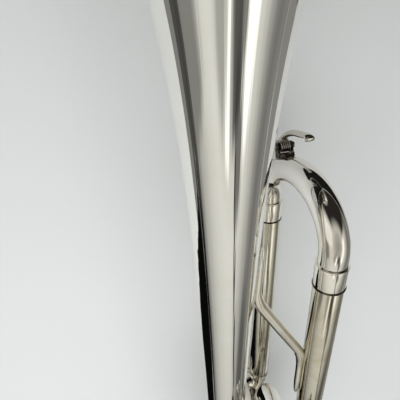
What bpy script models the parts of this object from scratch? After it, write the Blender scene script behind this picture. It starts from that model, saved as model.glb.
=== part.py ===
"""A silver-plated piston trumpet, built as an assembly of separate pieces.

The instrument is laid out with the bell axis as X: x = 0 at the bell's rim and
negative towards the player, +Y to the player's left and +Z up, out of the valves.
An empty then moves it so that the origin lies under the middle of its box, on the
plane of the three bottom valve caps.
"""

import math

import bmesh
import bpy
from mathutils import Matrix, Vector

# Fits: the gap between fixed neighbours, and the running gap of a slide in its sleeve
SEAT_GAP = 0.0003
SLIDE_GAP = 0.00035

# Bell: a horn whose radius falls with a power of the distance from the rim
BELL_RIM_RADIUS = 0.0615
BELL_FLARE_LENGTH = 0.0192
BELL_FLARE_POWER = 0.70
BELL_LENGTH = 0.408
BELL_WALL = 0.0005
RIM_WIRE_RADIUS = 0.0012
BELL_BOW_STRAIGHT = 0.0045
BELL_BOW_END_RADIUS = 0.0063
BELL_BOW_WALL = 0.0006
BELL_FERRULE_LENGTH = 0.008
BELL_FERRULE_WALL = 0.0009

# Where the valves stand: how far ahead of the bell's tail, and above and below its axis
VALVE_3_AHEAD = 0.077
VALVE_Y = -0.027
VALVE_PITCH = 0.023
CAP_FLOOR_Z = -0.081
CASING_TOP_Z = 0.035

# Valve casings and their knuckles, the short bent tubes soldered to them
CASING_RADIUS = 0.010
CASING_WALL = 0.0014
KNUCKLE_RADIUS = 0.0061
KNUCKLE_WALL = 0.0007
KNUCKLE_STRAIGHT = 0.0105
KNUCKLE_BEND = 0.014
KNUCKLE_REACH = 0.0185
INLET_REACH = 0.0205
SECOND_KNUCKLE_REACH = 0.014
LINK_RADIUS = 0.0055
LINK_Z = -0.0435

# Valve caps
CAP_RADIUS = 0.0115
CAP_WALL = 0.0012
BOTTOM_CAP_HEIGHT = 0.014
BOTTOM_CAP_FLOOR = 0.0015
BOTTOM_CAP_FOOT_RADIUS = 0.0096
BOTTOM_CAP_KNURL = 0.006
TOP_CAP_SKIRT = 0.009
TOP_CAP_PLATE = 0.0037
STEM_HOLE_RADIUS = 0.0036

# Pistons, with a spring barrel above and the ported body below
PISTON_STROKE = 0.016
PISTON_WALL = 0.0013
BARREL_WALL = 0.0017
BARREL_FLOOR_Z = 0.009
BARREL_FLOOR = 0.0025
BARREL_TOP_Z = 0.031
PORT_RADIUS = 0.0052
GUIDE_THICKNESS = 0.0016
GUIDE_HUB_RADIUS = 0.0058
GUIDE_KEY_WIDTH = 0.003
SPRING_RADIUS = 0.0047
SPRING_WIRE_RADIUS = 0.00045
SPRING_TURNS = 4
STEM_RADIUS = 0.0024
STEM_FLANGE_RADIUS = 0.008
STEM_FLANGE = 0.0025
FELT_RADIUS = 0.0065
FELT_THICKNESS = 0.0022
BUTTON_RADIUS = 0.0087
BUTTON_HEIGHT = 0.004
PEARL_RADIUS = 0.0070
PEARL_DEPTH = 0.0012

# Slide tubing: every slide is a crook whose legs run in two outer sleeves
SLEEVE_RADIUS = 0.00653
SLEEVE_WALL = 0.00035
LEG_WALL = 0.0005
FERRULE_RADIUS = 0.00706
FERRULE_LIP = 0.0003
FERRULE_LIP_LENGTH = 0.0009
FERRULE_LENGTH = 0.0121

# Main tuning slide: its upper leg carries on the leadpipe, its lower leg feeds valve 3;
# its sleeves end ahead of the bell's tail
LEADPIPE_Y = -0.0454
LEADPIPE_Z = 0.0025
LOWER_LEG_Y = -0.0359
LOWER_LEG_Z = -0.0563
SLEEVE_FRONT_AHEAD = 0.2329
UPPER_SLEEVE_LENGTH = 0.130
TUNING_LEG_LENGTH = 0.080
TUNING_BOW_RADIUS = 0.0060
TUNING_BOW_STRAIGHT = 0.0034
TUNING_BOW_DEPTH = 0.0244

# Leadpipe, receiver and mouthpiece
LEADPIPE_REAR_RADIUS = 0.0053
LEADPIPE_FRONT_RADIUS = 0.0058
LEADPIPE_WALL = 0.0006
LEADPIPE_OVERLAP = 0.012
LEADPIPE_LENGTH = 0.172
RECEIVER_LENGTH = 0.040
RECEIVER_RADIUS = 0.0066
RECEIVER_WALL = 0.0012
RECEIVER_COLLAR_RADIUS = 0.0078
RECEIVER_COLLAR_LENGTH = 0.007
MOUTHPIECE_LENGTH = 0.087
MOUTHPIECE_INSERTION = 0.022
MOUTHPIECE_RIM_RADIUS = 0.0135
MOUTHPIECE_CUP_RADIUS = 0.0083
MOUTHPIECE_CUP_DEPTH = 0.011
MOUTHPIECE_THROAT_RADIUS = 0.00185
SHANK_END_RADIUS = 0.0043
SHANK_START_RADIUS = 0.0050

# First, second and third valve slides: height and side step of their legs
FIRST_SLIDE_Y = -0.035
FIRST_SLIDE_TOP_Z = -0.014
FIRST_SLIDE_BOTTOM_Z = -0.040
FIRST_SLEEVE_LENGTH = 0.020
SECOND_SLIDE_TOP_Z = -0.012
SECOND_SLIDE_BOTTOM_Z = -0.038
SECOND_SLEEVE_LENGTH = 0.010
THIRD_SLIDE_Y = -0.031
THIRD_SLIDE_TOP_Z = 0.002
THIRD_SLIDE_BOTTOM_Z = -0.026
THIRD_SLEEVE_LENGTH = 0.0160
SLIDE_BOW_STEP = 0.001
SLIDE_LEG_RECESS = 0.0015
SLEEVE_POST_RADIUS = 0.0016
SLEEVE_POST_BITE = 0.0002
FINGER_RING_RADIUS = 0.012
FINGER_RING_WIRE = 0.0015
FINGER_RING_STEP = 0.0052
SADDLE_RADIUS = 0.0075
SADDLE_WIRE = 0.0015
SADDLE_LEAN = math.radians(40)
SADDLE_REACH = math.radians(95)
SADDLE_STEP = 0.004

# Braces and finger hook, bent from rod; a brace's corners lie ahead of the bell's tail,
# two on the bell and two on the leadpipe's side
BRACE_RADIUS = 0.0016
BRACE_TIP_SHARE = 0.5
BRACE_BEND = 0.005
FRONT_BRACE_BELL_AHEAD = (0.251, 0.228)
FRONT_BRACE_PIPE_AHEAD = (0.189, 0.158)
FRONT_BRACE_Z = 0.0015
REAR_BRACE_BELL_AHEAD = (0.025, 0.011)
REAR_BRACE_PIPE_AHEAD = (-0.009, -0.024)
REAR_BRACE_Z = 0.008
CASING_POST_RADIUS = 0.0022
HOOK_RADIUS = 0.009
HOOK_WIRE = 0.0016
HOOK_STEP = 0.0051
HOOK_START = math.radians(-90)
HOOK_END = math.radians(140)

# Water key: stations along the tuning bow as angles from its upper leg, and heights
KEY_PIVOT_ANGLE = math.radians(118)
KEY_PIVOT_HEIGHT = 0.0055
KEY_NIPPLE_ANGLE = math.radians(150)
KEY_NIPPLE_HEIGHT = 0.0022
KEY_NIPPLE_RADIUS = 0.0026
KEY_NIPPLE_BORE = 0.0014
KEY_CORK_RADIUS = 0.0028
KEY_CORK_THICKNESS = 0.0013
KEY_LEVER_THICKNESS = 0.0014
KEY_LEVER_WIDTH = 0.0030
KEY_LEVER_SIDE = 0.00135
KEY_LEVER_ARCH = 0.0120
KEY_LEVER_TIP_ANGLE = math.radians(87)
KEY_SHOULDER_ANGLE = math.radians(128)
KEY_TAB_HALF_ANGLE = math.radians(4.0)
KEY_TAB_DROP = 0.0018
KEY_SADDLE_LENGTH = 0.008
KEY_SADDLE_WIDTH = 0.0084
KEY_SADDLE_BASE = 0.0016
KEY_LUG_THICKNESS = 0.0011
KEY_LUG_LENGTH = 0.0042
KEY_LUG_RISE = 0.0022
KEY_SCREW_RADIUS = 0.0008
KEY_SCREW_HEAD = 0.0009
KEY_SPRING_RADIUS = 0.0019
KEY_SPRING_WIRE = 0.00028
KEY_SPRING_PITCH = 0.00105
KEY_SPRING_TURNS = 1.5
KEY_SPRING_ARM = 0.003

# Facets round each kind of piece
BELL_SIDES = 28
TUBE_SIDES = 18
SMALL_SIDES = 12
BELL_STATIONS = 16
BEND_STEPS = 8
CASING_TURN = math.radians(7)
BORE_TWIST = math.radians(11)

SILVER = ((0.80, 0.79, 0.76), 0.10, 1.0)
PEARL = ((0.86, 0.84, 0.80), 0.25, 0.0)
FELT = ((0.12, 0.12, 0.13), 0.95, 0.0)
CORK = ((0.42, 0.29, 0.17), 0.90, 0.0)
STEEL = ((0.45, 0.45, 0.46), 0.30, 1.0)
NYLON = ((0.75, 0.73, 0.68), 0.50, 0.0)

# Values that follow from the driving dimensions
BELL_TAIL_X = -BELL_LENGTH
VALVE_3_X = BELL_TAIL_X + VALVE_3_AHEAD
SLEEVE_FRONT_X = BELL_TAIL_X + SLEEVE_FRONT_AHEAD
LEG_RADIUS = SLEEVE_RADIUS - SLEEVE_WALL - SLIDE_GAP
CASING_BOTTOM_Z = CAP_FLOOR_Z + BOTTOM_CAP_FLOOR + SEAT_GAP
PISTON_RADIUS = CASING_RADIUS - CASING_WALL - SEAT_GAP
PISTON_BOTTOM_Z = CASING_BOTTOM_Z + PISTON_STROKE
CAP_TOP_Z = CASING_TOP_Z + SEAT_GAP + TOP_CAP_PLATE
FELT_Z = CAP_TOP_Z + SEAT_GAP + PISTON_STROKE
BUTTON_Z = FELT_Z + FELT_THICKNESS + SEAT_GAP
SPRING_BOTTOM_Z = BARREL_FLOOR_Z + 2 * SEAT_GAP + GUIDE_THICKNESS
SPRING_TOP_Z = BARREL_TOP_Z
FERRULE_REAR_X = SLEEVE_FRONT_X + SEAT_GAP
TUNING_BOW_X = FERRULE_REAR_X + FERRULE_LENGTH + TUNING_BOW_STRAIGHT
UPPER_SLEEVE_REAR_X = SLEEVE_FRONT_X - UPPER_SLEEVE_LENGTH
LEADPIPE_FRONT_X = UPPER_SLEEVE_REAR_X + LEADPIPE_OVERLAP
LEADPIPE_REAR_X = LEADPIPE_FRONT_X - LEADPIPE_LENGTH
RECEIVER_REAR_X = LEADPIPE_REAR_X + MOUTHPIECE_INSERTION / 2 - RECEIVER_LENGTH
MOUTHPIECE_FRONT_X = RECEIVER_REAR_X + MOUTHPIECE_INSERTION
MOUTHPIECE_REAR_X = MOUTHPIECE_FRONT_X - MOUTHPIECE_LENGTH
SECOND_SLEEVE_END_Y = VALVE_Y - SECOND_KNUCKLE_REACH - SEAT_GAP - SECOND_SLEEVE_LENGTH
SECOND_BOW_RADIUS = (SECOND_SLIDE_TOP_Z - SECOND_SLIDE_BOTTOM_Z) / 2

TUNING_MIDDLE = Vector((TUNING_BOW_X, (LEADPIPE_Y + LOWER_LEG_Y) / 2, (LEADPIPE_Z + LOWER_LEG_Z) / 2))
TUNING_RISE = Vector((0, LEADPIPE_Y - LOWER_LEG_Y, LEADPIPE_Z - LOWER_LEG_Z))
TUNING_HALF_SPACING = TUNING_RISE.length / 2
FORWARD = Vector((1, 0, 0))
TUNING_UP = TUNING_RISE.normalized()
TUNING_SIDE = FORWARD.cross(TUNING_UP)


def valve_x(number):
    """The axis of valve 1, 2 or 3; valve 3 is the foremost."""
    return VALVE_3_X - (3 - number) * VALVE_PITCH


def bell_radius(distance):
    """Outer radius of the bell at a distance behind its rim."""
    return BELL_RIM_RADIUS * (BELL_FLARE_LENGTH / (distance + BELL_FLARE_LENGTH)) ** BELL_FLARE_POWER


RIM_WIRE_OUTER = BELL_RIM_RADIUS - RIM_WIRE_RADIUS / 2 + RIM_WIRE_RADIUS
BOX_RIGHT_Y = SECOND_SLEEVE_END_Y - SLIDE_BOW_STEP - SECOND_BOW_RADIUS - LEG_RADIUS

for leftover in list(bpy.data.objects):
    bpy.data.objects.remove(leftover, do_unlink=True)

pieces = bpy.data.collections.new("trumpet")
cutters = bpy.data.collections.new("cutters")
bpy.context.scene.collection.children.link(pieces)
bpy.context.scene.collection.children.link(cutters)

frame = bpy.data.objects.new("trumpet_frame", None)
frame.location = (-MOUTHPIECE_REAR_X / 2, -(BOX_RIGHT_Y + RIM_WIRE_OUTER) / 2, -CAP_FLOOR_Z)
pieces.objects.link(frame)


# Materials, bodies and the basic ways of making a shape

def material(name, finish):
    colour, roughness, metallic = finish
    made = bpy.data.materials.new(name)
    made.use_nodes = True
    shader = made.node_tree.nodes["Principled BSDF"]
    shader.inputs["Base Color"].default_value = (*colour, 1)
    shader.inputs["Roughness"].default_value = roughness
    shader.inputs["Metallic"].default_value = metallic
    return made


def body(name, place):
    """An empty on a joint's axis that carries the pieces which move together."""
    empty = bpy.data.objects.new(name, None)
    empty.location = place
    empty.parent = frame
    pieces.objects.link(empty)
    return empty


def add_piece(piece, finish, carrier=None):
    """Put a finished shape in the assembly, carried by the frame or by a moving body."""
    for collection in piece.users_collection:
        collection.objects.unlink(piece)
    pieces.objects.link(piece)
    piece.hide_render = False
    piece.display_type = 'TEXTURED'
    piece.data.materials.clear()
    piece.data.materials.append(material(piece.name, finish))
    piece.parent = carrier or frame
    if carrier:
        piece.matrix_parent_inverse = Matrix.Translation(-carrier.location)
    return piece


def helper(name, mesh, matrix=None):
    """A shape that is joined to, or cut from, a piece; it is no piece itself."""
    shape = bpy.data.objects.new(name, mesh)
    shape.hide_render = True
    shape.display_type = 'WIRE'
    shape.parent = frame
    if matrix:
        shape.matrix_local = matrix
    cutters.objects.link(shape)
    return shape


def along_x(y, z):
    """Turns a shape made along Z so that it lies along X at the given side and height."""
    return Matrix.Translation((0, y, z)) @ Matrix.Rotation(math.pi / 2, 4, 'Y')


def upright(x, y):
    """A valve's own frame; its facets are turned so that none lies along X or Y."""
    return Matrix.Translation((x, y, 0)) @ Matrix.Rotation(CASING_TURN, 4, 'Z')


def facing(place, axis, side):
    """A frame at a place with its Z along axis and its X as near to side as it can be."""
    axis = axis.normalized()
    across = axis.cross(side).normalized()
    turned_side = across.cross(axis)
    columns = Matrix((turned_side, across, axis)).transposed().to_4x4()
    return Matrix.Translation(place) @ columns


def turned(name, profile, sides, matrix, closed=False):
    """A shape of revolution from (radius, height) points that run down its outer side."""
    mesh = bpy.data.meshes.new(name)
    points = [(radius, 0, height) for radius, height in profile]
    edges = [(i, i + 1) for i in range(len(points) - 1)]
    if closed:
        edges.append((len(points) - 1, 0))
    mesh.from_pydata(points, edges, [])
    shape = helper(name, mesh, matrix)
    screw = shape.modifiers.new("turn", 'SCREW')
    screw.steps = sides
    screw.render_steps = sides
    screw.use_merge_vertices = True
    screw.merge_threshold = 0.000005
    return shape


def rod(name, radius, start, end, sides, matrix):
    return turned(name, [(0, end), (radius, end), (radius, start), (0, start)], sides, matrix)


def sleeve(name, radius, wall, start, end, sides, matrix):
    inner = radius - wall
    profile = [(radius, end), (radius, start), (inner, start), (inner, end)]
    return turned(name, profile, sides, matrix, closed=True)


def block(name, size, matrix):
    mesh = bpy.data.meshes.new(name)
    shaper = bmesh.new()
    bmesh.ops.create_cube(shaper, size=1)
    bmesh.ops.scale(shaper, vec=size, verts=shaper.verts)
    shaper.to_mesh(mesh)
    shaper.free()
    return helper(name, mesh, matrix)


def welded_mesh(name, curve):
    """The closed mesh that a curve's bevel or extrusion makes."""
    shape = helper(name, curve)
    evaluated = shape.evaluated_get(bpy.context.evaluated_depsgraph_get())
    mesh = bpy.data.meshes.new_from_object(evaluated)
    bpy.data.objects.remove(shape, do_unlink=True)
    shaper = bmesh.new()
    shaper.from_mesh(mesh)
    bmesh.ops.remove_doubles(shaper, verts=shaper.verts, dist=0.000002)
    bmesh.ops.recalc_face_normals(shaper, faces=shaper.faces)
    shaper.to_mesh(mesh)
    shaper.free()
    return mesh


def swept(name, points, radii, sides, wall=None, twist=0.0):
    """A round tube or rod along points; with a wall it is hollow and open at both ends."""
    curve = bpy.data.curves.new(name, 'CURVE')
    curve.dimensions = '3D'
    curve.bevel_depth = max(radii)
    curve.bevel_resolution = (sides - 4) // 2
    curve.use_fill_caps = wall is None
    spline = curve.splines.new('POLY')
    spline.points.add(len(points) - 1)
    for knot, point, radius in zip(spline.points, points, radii):
        knot.co = (*point, 1)
        knot.radius = radius / curve.bevel_depth
        knot.tilt = twist
    made = helper(name, welded_mesh(name, curve))
    if wall is not None:
        shell = made.modifiers.new("wall", 'SOLIDIFY')
        shell.thickness = wall
        shell.offset = -1
        shell.use_even_offset = True
    return made


def join(piece, *others):
    for other in others:
        step = piece.modifiers.new("join", 'BOOLEAN')
        step.operation = 'UNION'
        step.object = other


def cut(piece, *others):
    for other in others:
        step = piece.modifiers.new("cut", 'BOOLEAN')
        step.operation = 'DIFFERENCE'
        step.object = other


def rounded(corners, bend):
    """A path through corners, with each inner corner replaced by a smooth bend."""
    path = [corners[0]]
    for before, corner, after in zip(corners, corners[1:], corners[2:]):
        entry = corner + (before - corner).normalized() * bend
        leave = corner + (after - corner).normalized() * bend
        for k in range(5):
            t = k / 4
            path.append(entry * (1 - t) ** 2 + corner * 2 * t * (1 - t) + leave * t ** 2)
    path.append(corners[-1])
    return path


def arc_points(middle, first, second, start, end, steps):
    """Points on an ellipse about middle with half axes first and second."""
    angles = [start + (end - start) * k / steps for k in range(steps + 1)]
    return [middle + first * math.cos(a) + second * math.sin(a) for a in angles]


def crook(name, top, bottom, outward, leg, bow_step, radius):
    """A hollow U: two legs that reach back by leg from top and bottom, and a round bow."""
    middle = (top + bottom) / 2 + outward * bow_step
    rise = (top - bottom) / 2
    bow = arc_points(middle, rise, outward * rise.length, 0, math.pi, BEND_STEPS)
    path = [top - outward * leg] + bow + [bottom - outward * leg]
    return swept(name, path, [radius] * len(path), SMALL_SIDES, LEG_WALL)


# Bell and bell bow

def make_bell():
    stations = [BELL_LENGTH * (k / BELL_STATIONS) ** 2 for k in range(BELL_STATIONS + 1)]
    outer = [(bell_radius(s), -s) for s in stations]
    inner = [(bell_radius(s) - BELL_WALL, -s) for s in reversed(stations)]
    bell = turned("bell", outer + inner, BELL_SIDES, along_x(0, 0), closed=True)
    add_piece(bell, SILVER)


def make_rim_wire():
    """The wire that the bell's edge is rolled around, lying behind the rim."""
    centre = BELL_RIM_RADIUS - RIM_WIRE_RADIUS / 2
    sides = 6
    ring = []
    for k in range(sides):
        a = -2 * math.pi * k / sides
        ring.append((centre + RIM_WIRE_RADIUS * math.cos(a), RIM_WIRE_RADIUS * math.sin(a)))
    slope = math.atan(BELL_FLARE_POWER * BELL_RIM_RADIUS / BELL_FLARE_LENGTH)
    behind = (RIM_WIRE_RADIUS + SEAT_GAP + RIM_WIRE_RADIUS / 2 * math.cos(slope)) / math.sin(slope)
    profile = [(radius, height - behind) for radius, height in ring]
    add_piece(turned("bell_rim_wire", profile, BELL_SIDES, along_x(0, 0), closed=True), SILVER)


def make_bell_bow():
    tail = bell_radius(BELL_LENGTH)
    start = Vector((BELL_TAIL_X - SEAT_GAP, 0, 0))
    turn_x = BELL_TAIL_X - BELL_BOW_STRAIGHT
    top = Vector((turn_x, 0, 0))
    bottom = Vector((turn_x, VALVE_Y, LOWER_LEG_Z))
    rise = (top - bottom) / 2
    bow = arc_points((top + bottom) / 2, rise, -FORWARD * rise.length, 0, math.pi, BEND_STEPS)
    end = Vector((valve_x(1) - KNUCKLE_REACH - SEAT_GAP, VALVE_Y, LOWER_LEG_Z))
    path = [start] + bow + [end]
    shrink = (tail - BELL_BOW_END_RADIUS) / (len(path) - 1)
    radii = [tail - shrink * k for k in range(len(path))]
    add_piece(swept("bell_bow", path, radii, SMALL_SIDES, BELL_BOW_WALL), SILVER)
    bore = bell_radius(BELL_LENGTH - BELL_FERRULE_LENGTH / 2) + SEAT_GAP
    half = BELL_FERRULE_LENGTH / 2
    ferrule = sleeve("bell_ferrule", bore + BELL_FERRULE_WALL, BELL_FERRULE_WALL,
                     BELL_TAIL_X - half, BELL_TAIL_X + half, TUBE_SIDES, along_x(0, 0))
    add_piece(ferrule, SILVER)


# Valves

def knuckle_path(ahead, side_step, reach, extra):
    """From inside a casing out along a slant, then bent parallel to X, as (x, y) steps."""
    slope = math.atan2(KNUCKLE_BEND, KNUCKLE_STRAIGHT)
    slant = slope + math.asin((side_step - KNUCKLE_BEND) / math.hypot(KNUCKLE_BEND, KNUCKLE_STRAIGHT))
    path = []
    for share in (0.35, 1.0):
        run = KNUCKLE_STRAIGHT * share
        path.append((run * math.cos(slant), run * math.sin(slant)))
    if slant > 0.01:
        for k in range(1, 5):
            a = slant * (1 - k / 4)
            x = KNUCKLE_STRAIGHT * math.cos(slant) + KNUCKLE_BEND * (math.sin(slant) - math.sin(a))
            y = KNUCKLE_STRAIGHT * math.sin(slant) + KNUCKLE_BEND * (math.cos(a) - math.cos(slant))
            path.append((x, y))
    path.append((reach + extra, side_step))
    return [(ahead * x, -y) for x, y in path]


def knuckle(number, label, z, ahead, side_y, reach):
    """The joined tube and the cut bore of one bent knuckle."""
    shapes = []
    for kind, radius, extra, twist in (("tube", KNUCKLE_RADIUS, 0, 0),
                                       ("bore", KNUCKLE_RADIUS - KNUCKLE_WALL, 0.001, BORE_TWIST)):
        steps = knuckle_path(ahead, VALVE_Y - side_y, reach, extra)
        path = [Vector((valve_x(number) + x, VALVE_Y + y, z)) for x, y in steps]
        shapes.append(swept(f"{label}_{kind}", path, [radius] * len(path), SMALL_SIDES, twist=twist))
    return shapes


def straight_port(number, label, z, direction, reach, radius):
    """The joined tube and the cut bore of a straight port that leaves a casing."""
    shapes = []
    for kind, size, extra, twist in (("tube", radius, 0, 0),
                                     ("bore", radius - KNUCKLE_WALL, 0.001, BORE_TWIST)):
        start = Vector((valve_x(number), VALVE_Y, z)) + direction * CASING_RADIUS * 0.4
        end = Vector((valve_x(number), VALVE_Y, z)) + direction * (reach + extra)
        shapes.append(swept(f"{label}_{kind}", [start, end], [size] * 2, SMALL_SIDES, twist=twist))
    return shapes


def casing_ports(number):
    link_reach = VALVE_PITCH - CASING_RADIUS - SEAT_GAP
    if number == 1:
        return [knuckle(1, "bell_branch", LOWER_LEG_Z, -1, VALVE_Y, KNUCKLE_REACH),
                knuckle(1, "first_top", FIRST_SLIDE_TOP_Z, -1, FIRST_SLIDE_Y, KNUCKLE_REACH),
                knuckle(1, "first_bottom", FIRST_SLIDE_BOTTOM_Z, -1, FIRST_SLIDE_Y, KNUCKLE_REACH)]
    if number == 2:
        right = Vector((0, -1, 0))
        return [straight_port(2, "second_top", SECOND_SLIDE_TOP_Z, right, SECOND_KNUCKLE_REACH, KNUCKLE_RADIUS),
                straight_port(2, "second_bottom", SECOND_SLIDE_BOTTOM_Z, right, SECOND_KNUCKLE_REACH,
                              KNUCKLE_RADIUS),
                straight_port(2, "link_front", LINK_Z, FORWARD, link_reach, LINK_RADIUS),
                straight_port(2, "link_rear", LINK_Z, -FORWARD, link_reach, LINK_RADIUS)]
    return [knuckle(3, "inlet", LOWER_LEG_Z, 1, LOWER_LEG_Y, INLET_REACH),
            knuckle(3, "third_top", THIRD_SLIDE_TOP_Z, 1, THIRD_SLIDE_Y, KNUCKLE_REACH),
            knuckle(3, "third_bottom", THIRD_SLIDE_BOTTOM_Z, 1, THIRD_SLIDE_Y, KNUCKLE_REACH)]


def make_casing(number):
    place = upright(valve_x(number), VALVE_Y)
    casing = rod(f"valve_casing_{number}", CASING_RADIUS, CASING_BOTTOM_Z, CASING_TOP_Z, TUBE_SIDES, place)
    ports = casing_ports(number)
    join(casing, *[tube for tube, bore in ports])
    past_ends = 0.002
    bore = rod(f"casing_bore_{number}", CASING_RADIUS - CASING_WALL, CASING_BOTTOM_Z - past_ends,
               CASING_TOP_Z + past_ends, TUBE_SIDES, place)
    cut(casing, bore, *[bore for tube, bore in ports])
    if number != 2:
        towards = FORWARD if number == 1 else -FORWARD
        passage = straight_port(number, f"link_hole_{number}", LINK_Z, towards, CASING_RADIUS, LINK_RADIUS)
        cut(casing, passage[1])
    add_piece(casing, SILVER)


def make_caps(number):
    place = upright(valve_x(number), VALVE_Y)
    bore = CASING_RADIUS + SEAT_GAP
    top = CAP_FLOOR_Z + BOTTOM_CAP_HEIGHT
    step = 0.0007
    waist = CAP_RADIUS - step
    inner_floor = CAP_FLOOR_Z + BOTTOM_CAP_FLOOR
    profile = [(0, inner_floor), (bore, inner_floor), (bore, top), (CAP_RADIUS, top),
               (CAP_RADIUS, top - BOTTOM_CAP_KNURL), (waist, top - BOTTOM_CAP_KNURL - step),
               (waist, CAP_FLOOR_Z + BOTTOM_CAP_FLOOR), (BOTTOM_CAP_FOOT_RADIUS, CAP_FLOOR_Z),
               (0, CAP_FLOOR_Z)]
    add_piece(turned(f"bottom_cap_{number}", profile, TUBE_SIDES, place), SILVER)
    under = CASING_TOP_Z + SEAT_GAP
    crown = CAP_RADIUS - CAP_WALL
    profile = [(crown - step, CAP_TOP_Z), (crown, CAP_TOP_Z - step), (CAP_RADIUS, CAP_TOP_Z - 2 * step),
               (CAP_RADIUS, CASING_TOP_Z - TOP_CAP_SKIRT), (bore, CASING_TOP_Z - TOP_CAP_SKIRT),
               (bore, under), (STEM_HOLE_RADIUS, under), (STEM_HOLE_RADIUS, CAP_TOP_Z)]
    add_piece(turned(f"top_cap_{number}", profile, TUBE_SIDES, place, closed=True), SILVER)


def make_piston(number, carrier):
    place = upright(valve_x(number), VALVE_Y)
    body_bore = PISTON_RADIUS - PISTON_WALL
    barrel_bore = PISTON_RADIUS - BARREL_WALL
    roof = BARREL_FLOOR_Z - BARREL_FLOOR
    profile = [(0, BARREL_FLOOR_Z), (barrel_bore, BARREL_FLOOR_Z), (barrel_bore, BARREL_TOP_Z),
               (PISTON_RADIUS, BARREL_TOP_Z), (PISTON_RADIUS, PISTON_BOTTOM_Z),
               (body_bore, PISTON_BOTTOM_Z), (body_bore, roof), (0, roof)]
    piston = turned(f"piston_{number}", profile, TUBE_SIDES, place)
    slot_height = PISTON_STROKE + GUIDE_THICKNESS + 2 * SEAT_GAP
    slot_size = (GUIDE_KEY_WIDTH + 2 * SEAT_GAP, 2 * CASING_RADIUS, slot_height)
    slot_place = place @ Matrix.Translation((0, 0, BARREL_FLOOR_Z + slot_height / 2 + SEAT_GAP / 2))
    slot = block(f"guide_slot_{number}", slot_size, slot_place)
    ports = []
    for level in (LOWER_LEG_Z + PORT_RADIUS / 2, THIRD_SLIDE_BOTTOM_Z):
        across = along_x(VALVE_Y, level)
        ports.append(rod(f"piston_port_{number}", PORT_RADIUS, valve_x(number) - CASING_RADIUS,
                         valve_x(number) + CASING_RADIUS, SMALL_SIDES, across))
    cut(piston, slot, *ports)
    add_piece(piston, STEEL, carrier)


def make_guide(number):
    """The fixed key that stops the piston from turning and carries the spring's foot."""
    middle = BARREL_FLOOR_Z + SEAT_GAP + GUIDE_THICKNESS / 2
    place = upright(valve_x(number), VALVE_Y)
    guide = rod(f"valve_guide_{number}", GUIDE_HUB_RADIUS, middle - GUIDE_THICKNESS / 2,
                middle + GUIDE_THICKNESS / 2, SMALL_SIDES, place)
    length = 2 * (CASING_RADIUS - CASING_WALL - SEAT_GAP - 0.0002)
    key = block(f"guide_key_{number}", (GUIDE_KEY_WIDTH, length, GUIDE_THICKNESS),
                place @ Matrix.Translation((0, 0, middle)))
    join(guide, key)
    add_piece(guide, NYLON)


def helix(turns, radius, start, end, points_per_turn):
    count = round(turns * points_per_turn)
    points = []
    for k in range(count + 1):
        a = 2 * math.pi * turns * k / count
        height = start + (end - start) * k / count
        points.append(Vector((radius * math.cos(a), radius * math.sin(a), height)))
    return points


def least_self_gap(points, wire_radius, apart):
    """Least clear gap of a wire to itself, between points more than apart steps away."""
    gap = min((p - q).length for i, p in enumerate(points) for q in points[i + apart:])
    return gap - 2 * wire_radius


def make_spring(number):
    start = SPRING_BOTTOM_Z + SPRING_WIRE_RADIUS
    end = SPRING_TOP_Z - SPRING_WIRE_RADIUS
    curl = helix(SPRING_TURNS, SPRING_RADIUS, start, end, 8)
    print(f"valve_spring_{number} least self gap {least_self_gap(curl, SPRING_WIRE_RADIUS, 5) * 1000:.2f} mm")
    axis = Vector((valve_x(number), VALVE_Y, 0))
    points = [axis + p for p in curl]
    spring = swept(f"valve_spring_{number}", points, [SPRING_WIRE_RADIUS] * len(points), 6)
    add_piece(spring, STEEL)


def make_finger_button(number, carrier):
    place = upright(valve_x(number), VALVE_Y)
    flange = BARREL_TOP_Z + SEAT_GAP
    shoulder = flange + STEM_FLANGE
    stem_top = BUTTON_Z - SEAT_GAP
    profile = [(0, stem_top), (STEM_RADIUS, stem_top), (STEM_RADIUS, shoulder), (STEM_FLANGE_RADIUS, shoulder),
               (STEM_FLANGE_RADIUS, flange), (0, flange)]
    add_piece(turned(f"valve_stem_{number}", profile, SMALL_SIDES, place), SILVER, carrier)
    felt = sleeve(f"button_felt_{number}", FELT_RADIUS, FELT_RADIUS - STEM_RADIUS - SEAT_GAP, FELT_Z,
                  FELT_Z + FELT_THICKNESS, SMALL_SIDES, place)
    add_piece(felt, FELT, carrier)
    top = BUTTON_Z + BUTTON_HEIGHT
    seat = top - PEARL_DEPTH - SEAT_GAP
    pocket = PEARL_RADIUS + SEAT_GAP
    lip = (BUTTON_RADIUS + pocket) / 2
    profile = [(0, seat), (pocket, seat), (pocket, top - 0.0002), (lip, top), (BUTTON_RADIUS, top - 0.0008),
               (BUTTON_RADIUS - 0.0003, top - BUTTON_HEIGHT / 2), (FELT_RADIUS, BUTTON_Z), (0, BUTTON_Z)]
    add_piece(turned(f"finger_button_{number}", profile, SMALL_SIDES, place), SILVER, carrier)
    bottom = seat + SEAT_GAP
    profile = [(0, top + 0.0002), (PEARL_RADIUS * 0.8, top), (PEARL_RADIUS, top - 0.0005), (PEARL_RADIUS, bottom),
               (0, bottom)]
    add_piece(turned(f"button_pearl_{number}", profile, SMALL_SIDES, place), PEARL, carrier)


# Leadpipe and mouthpiece

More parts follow.
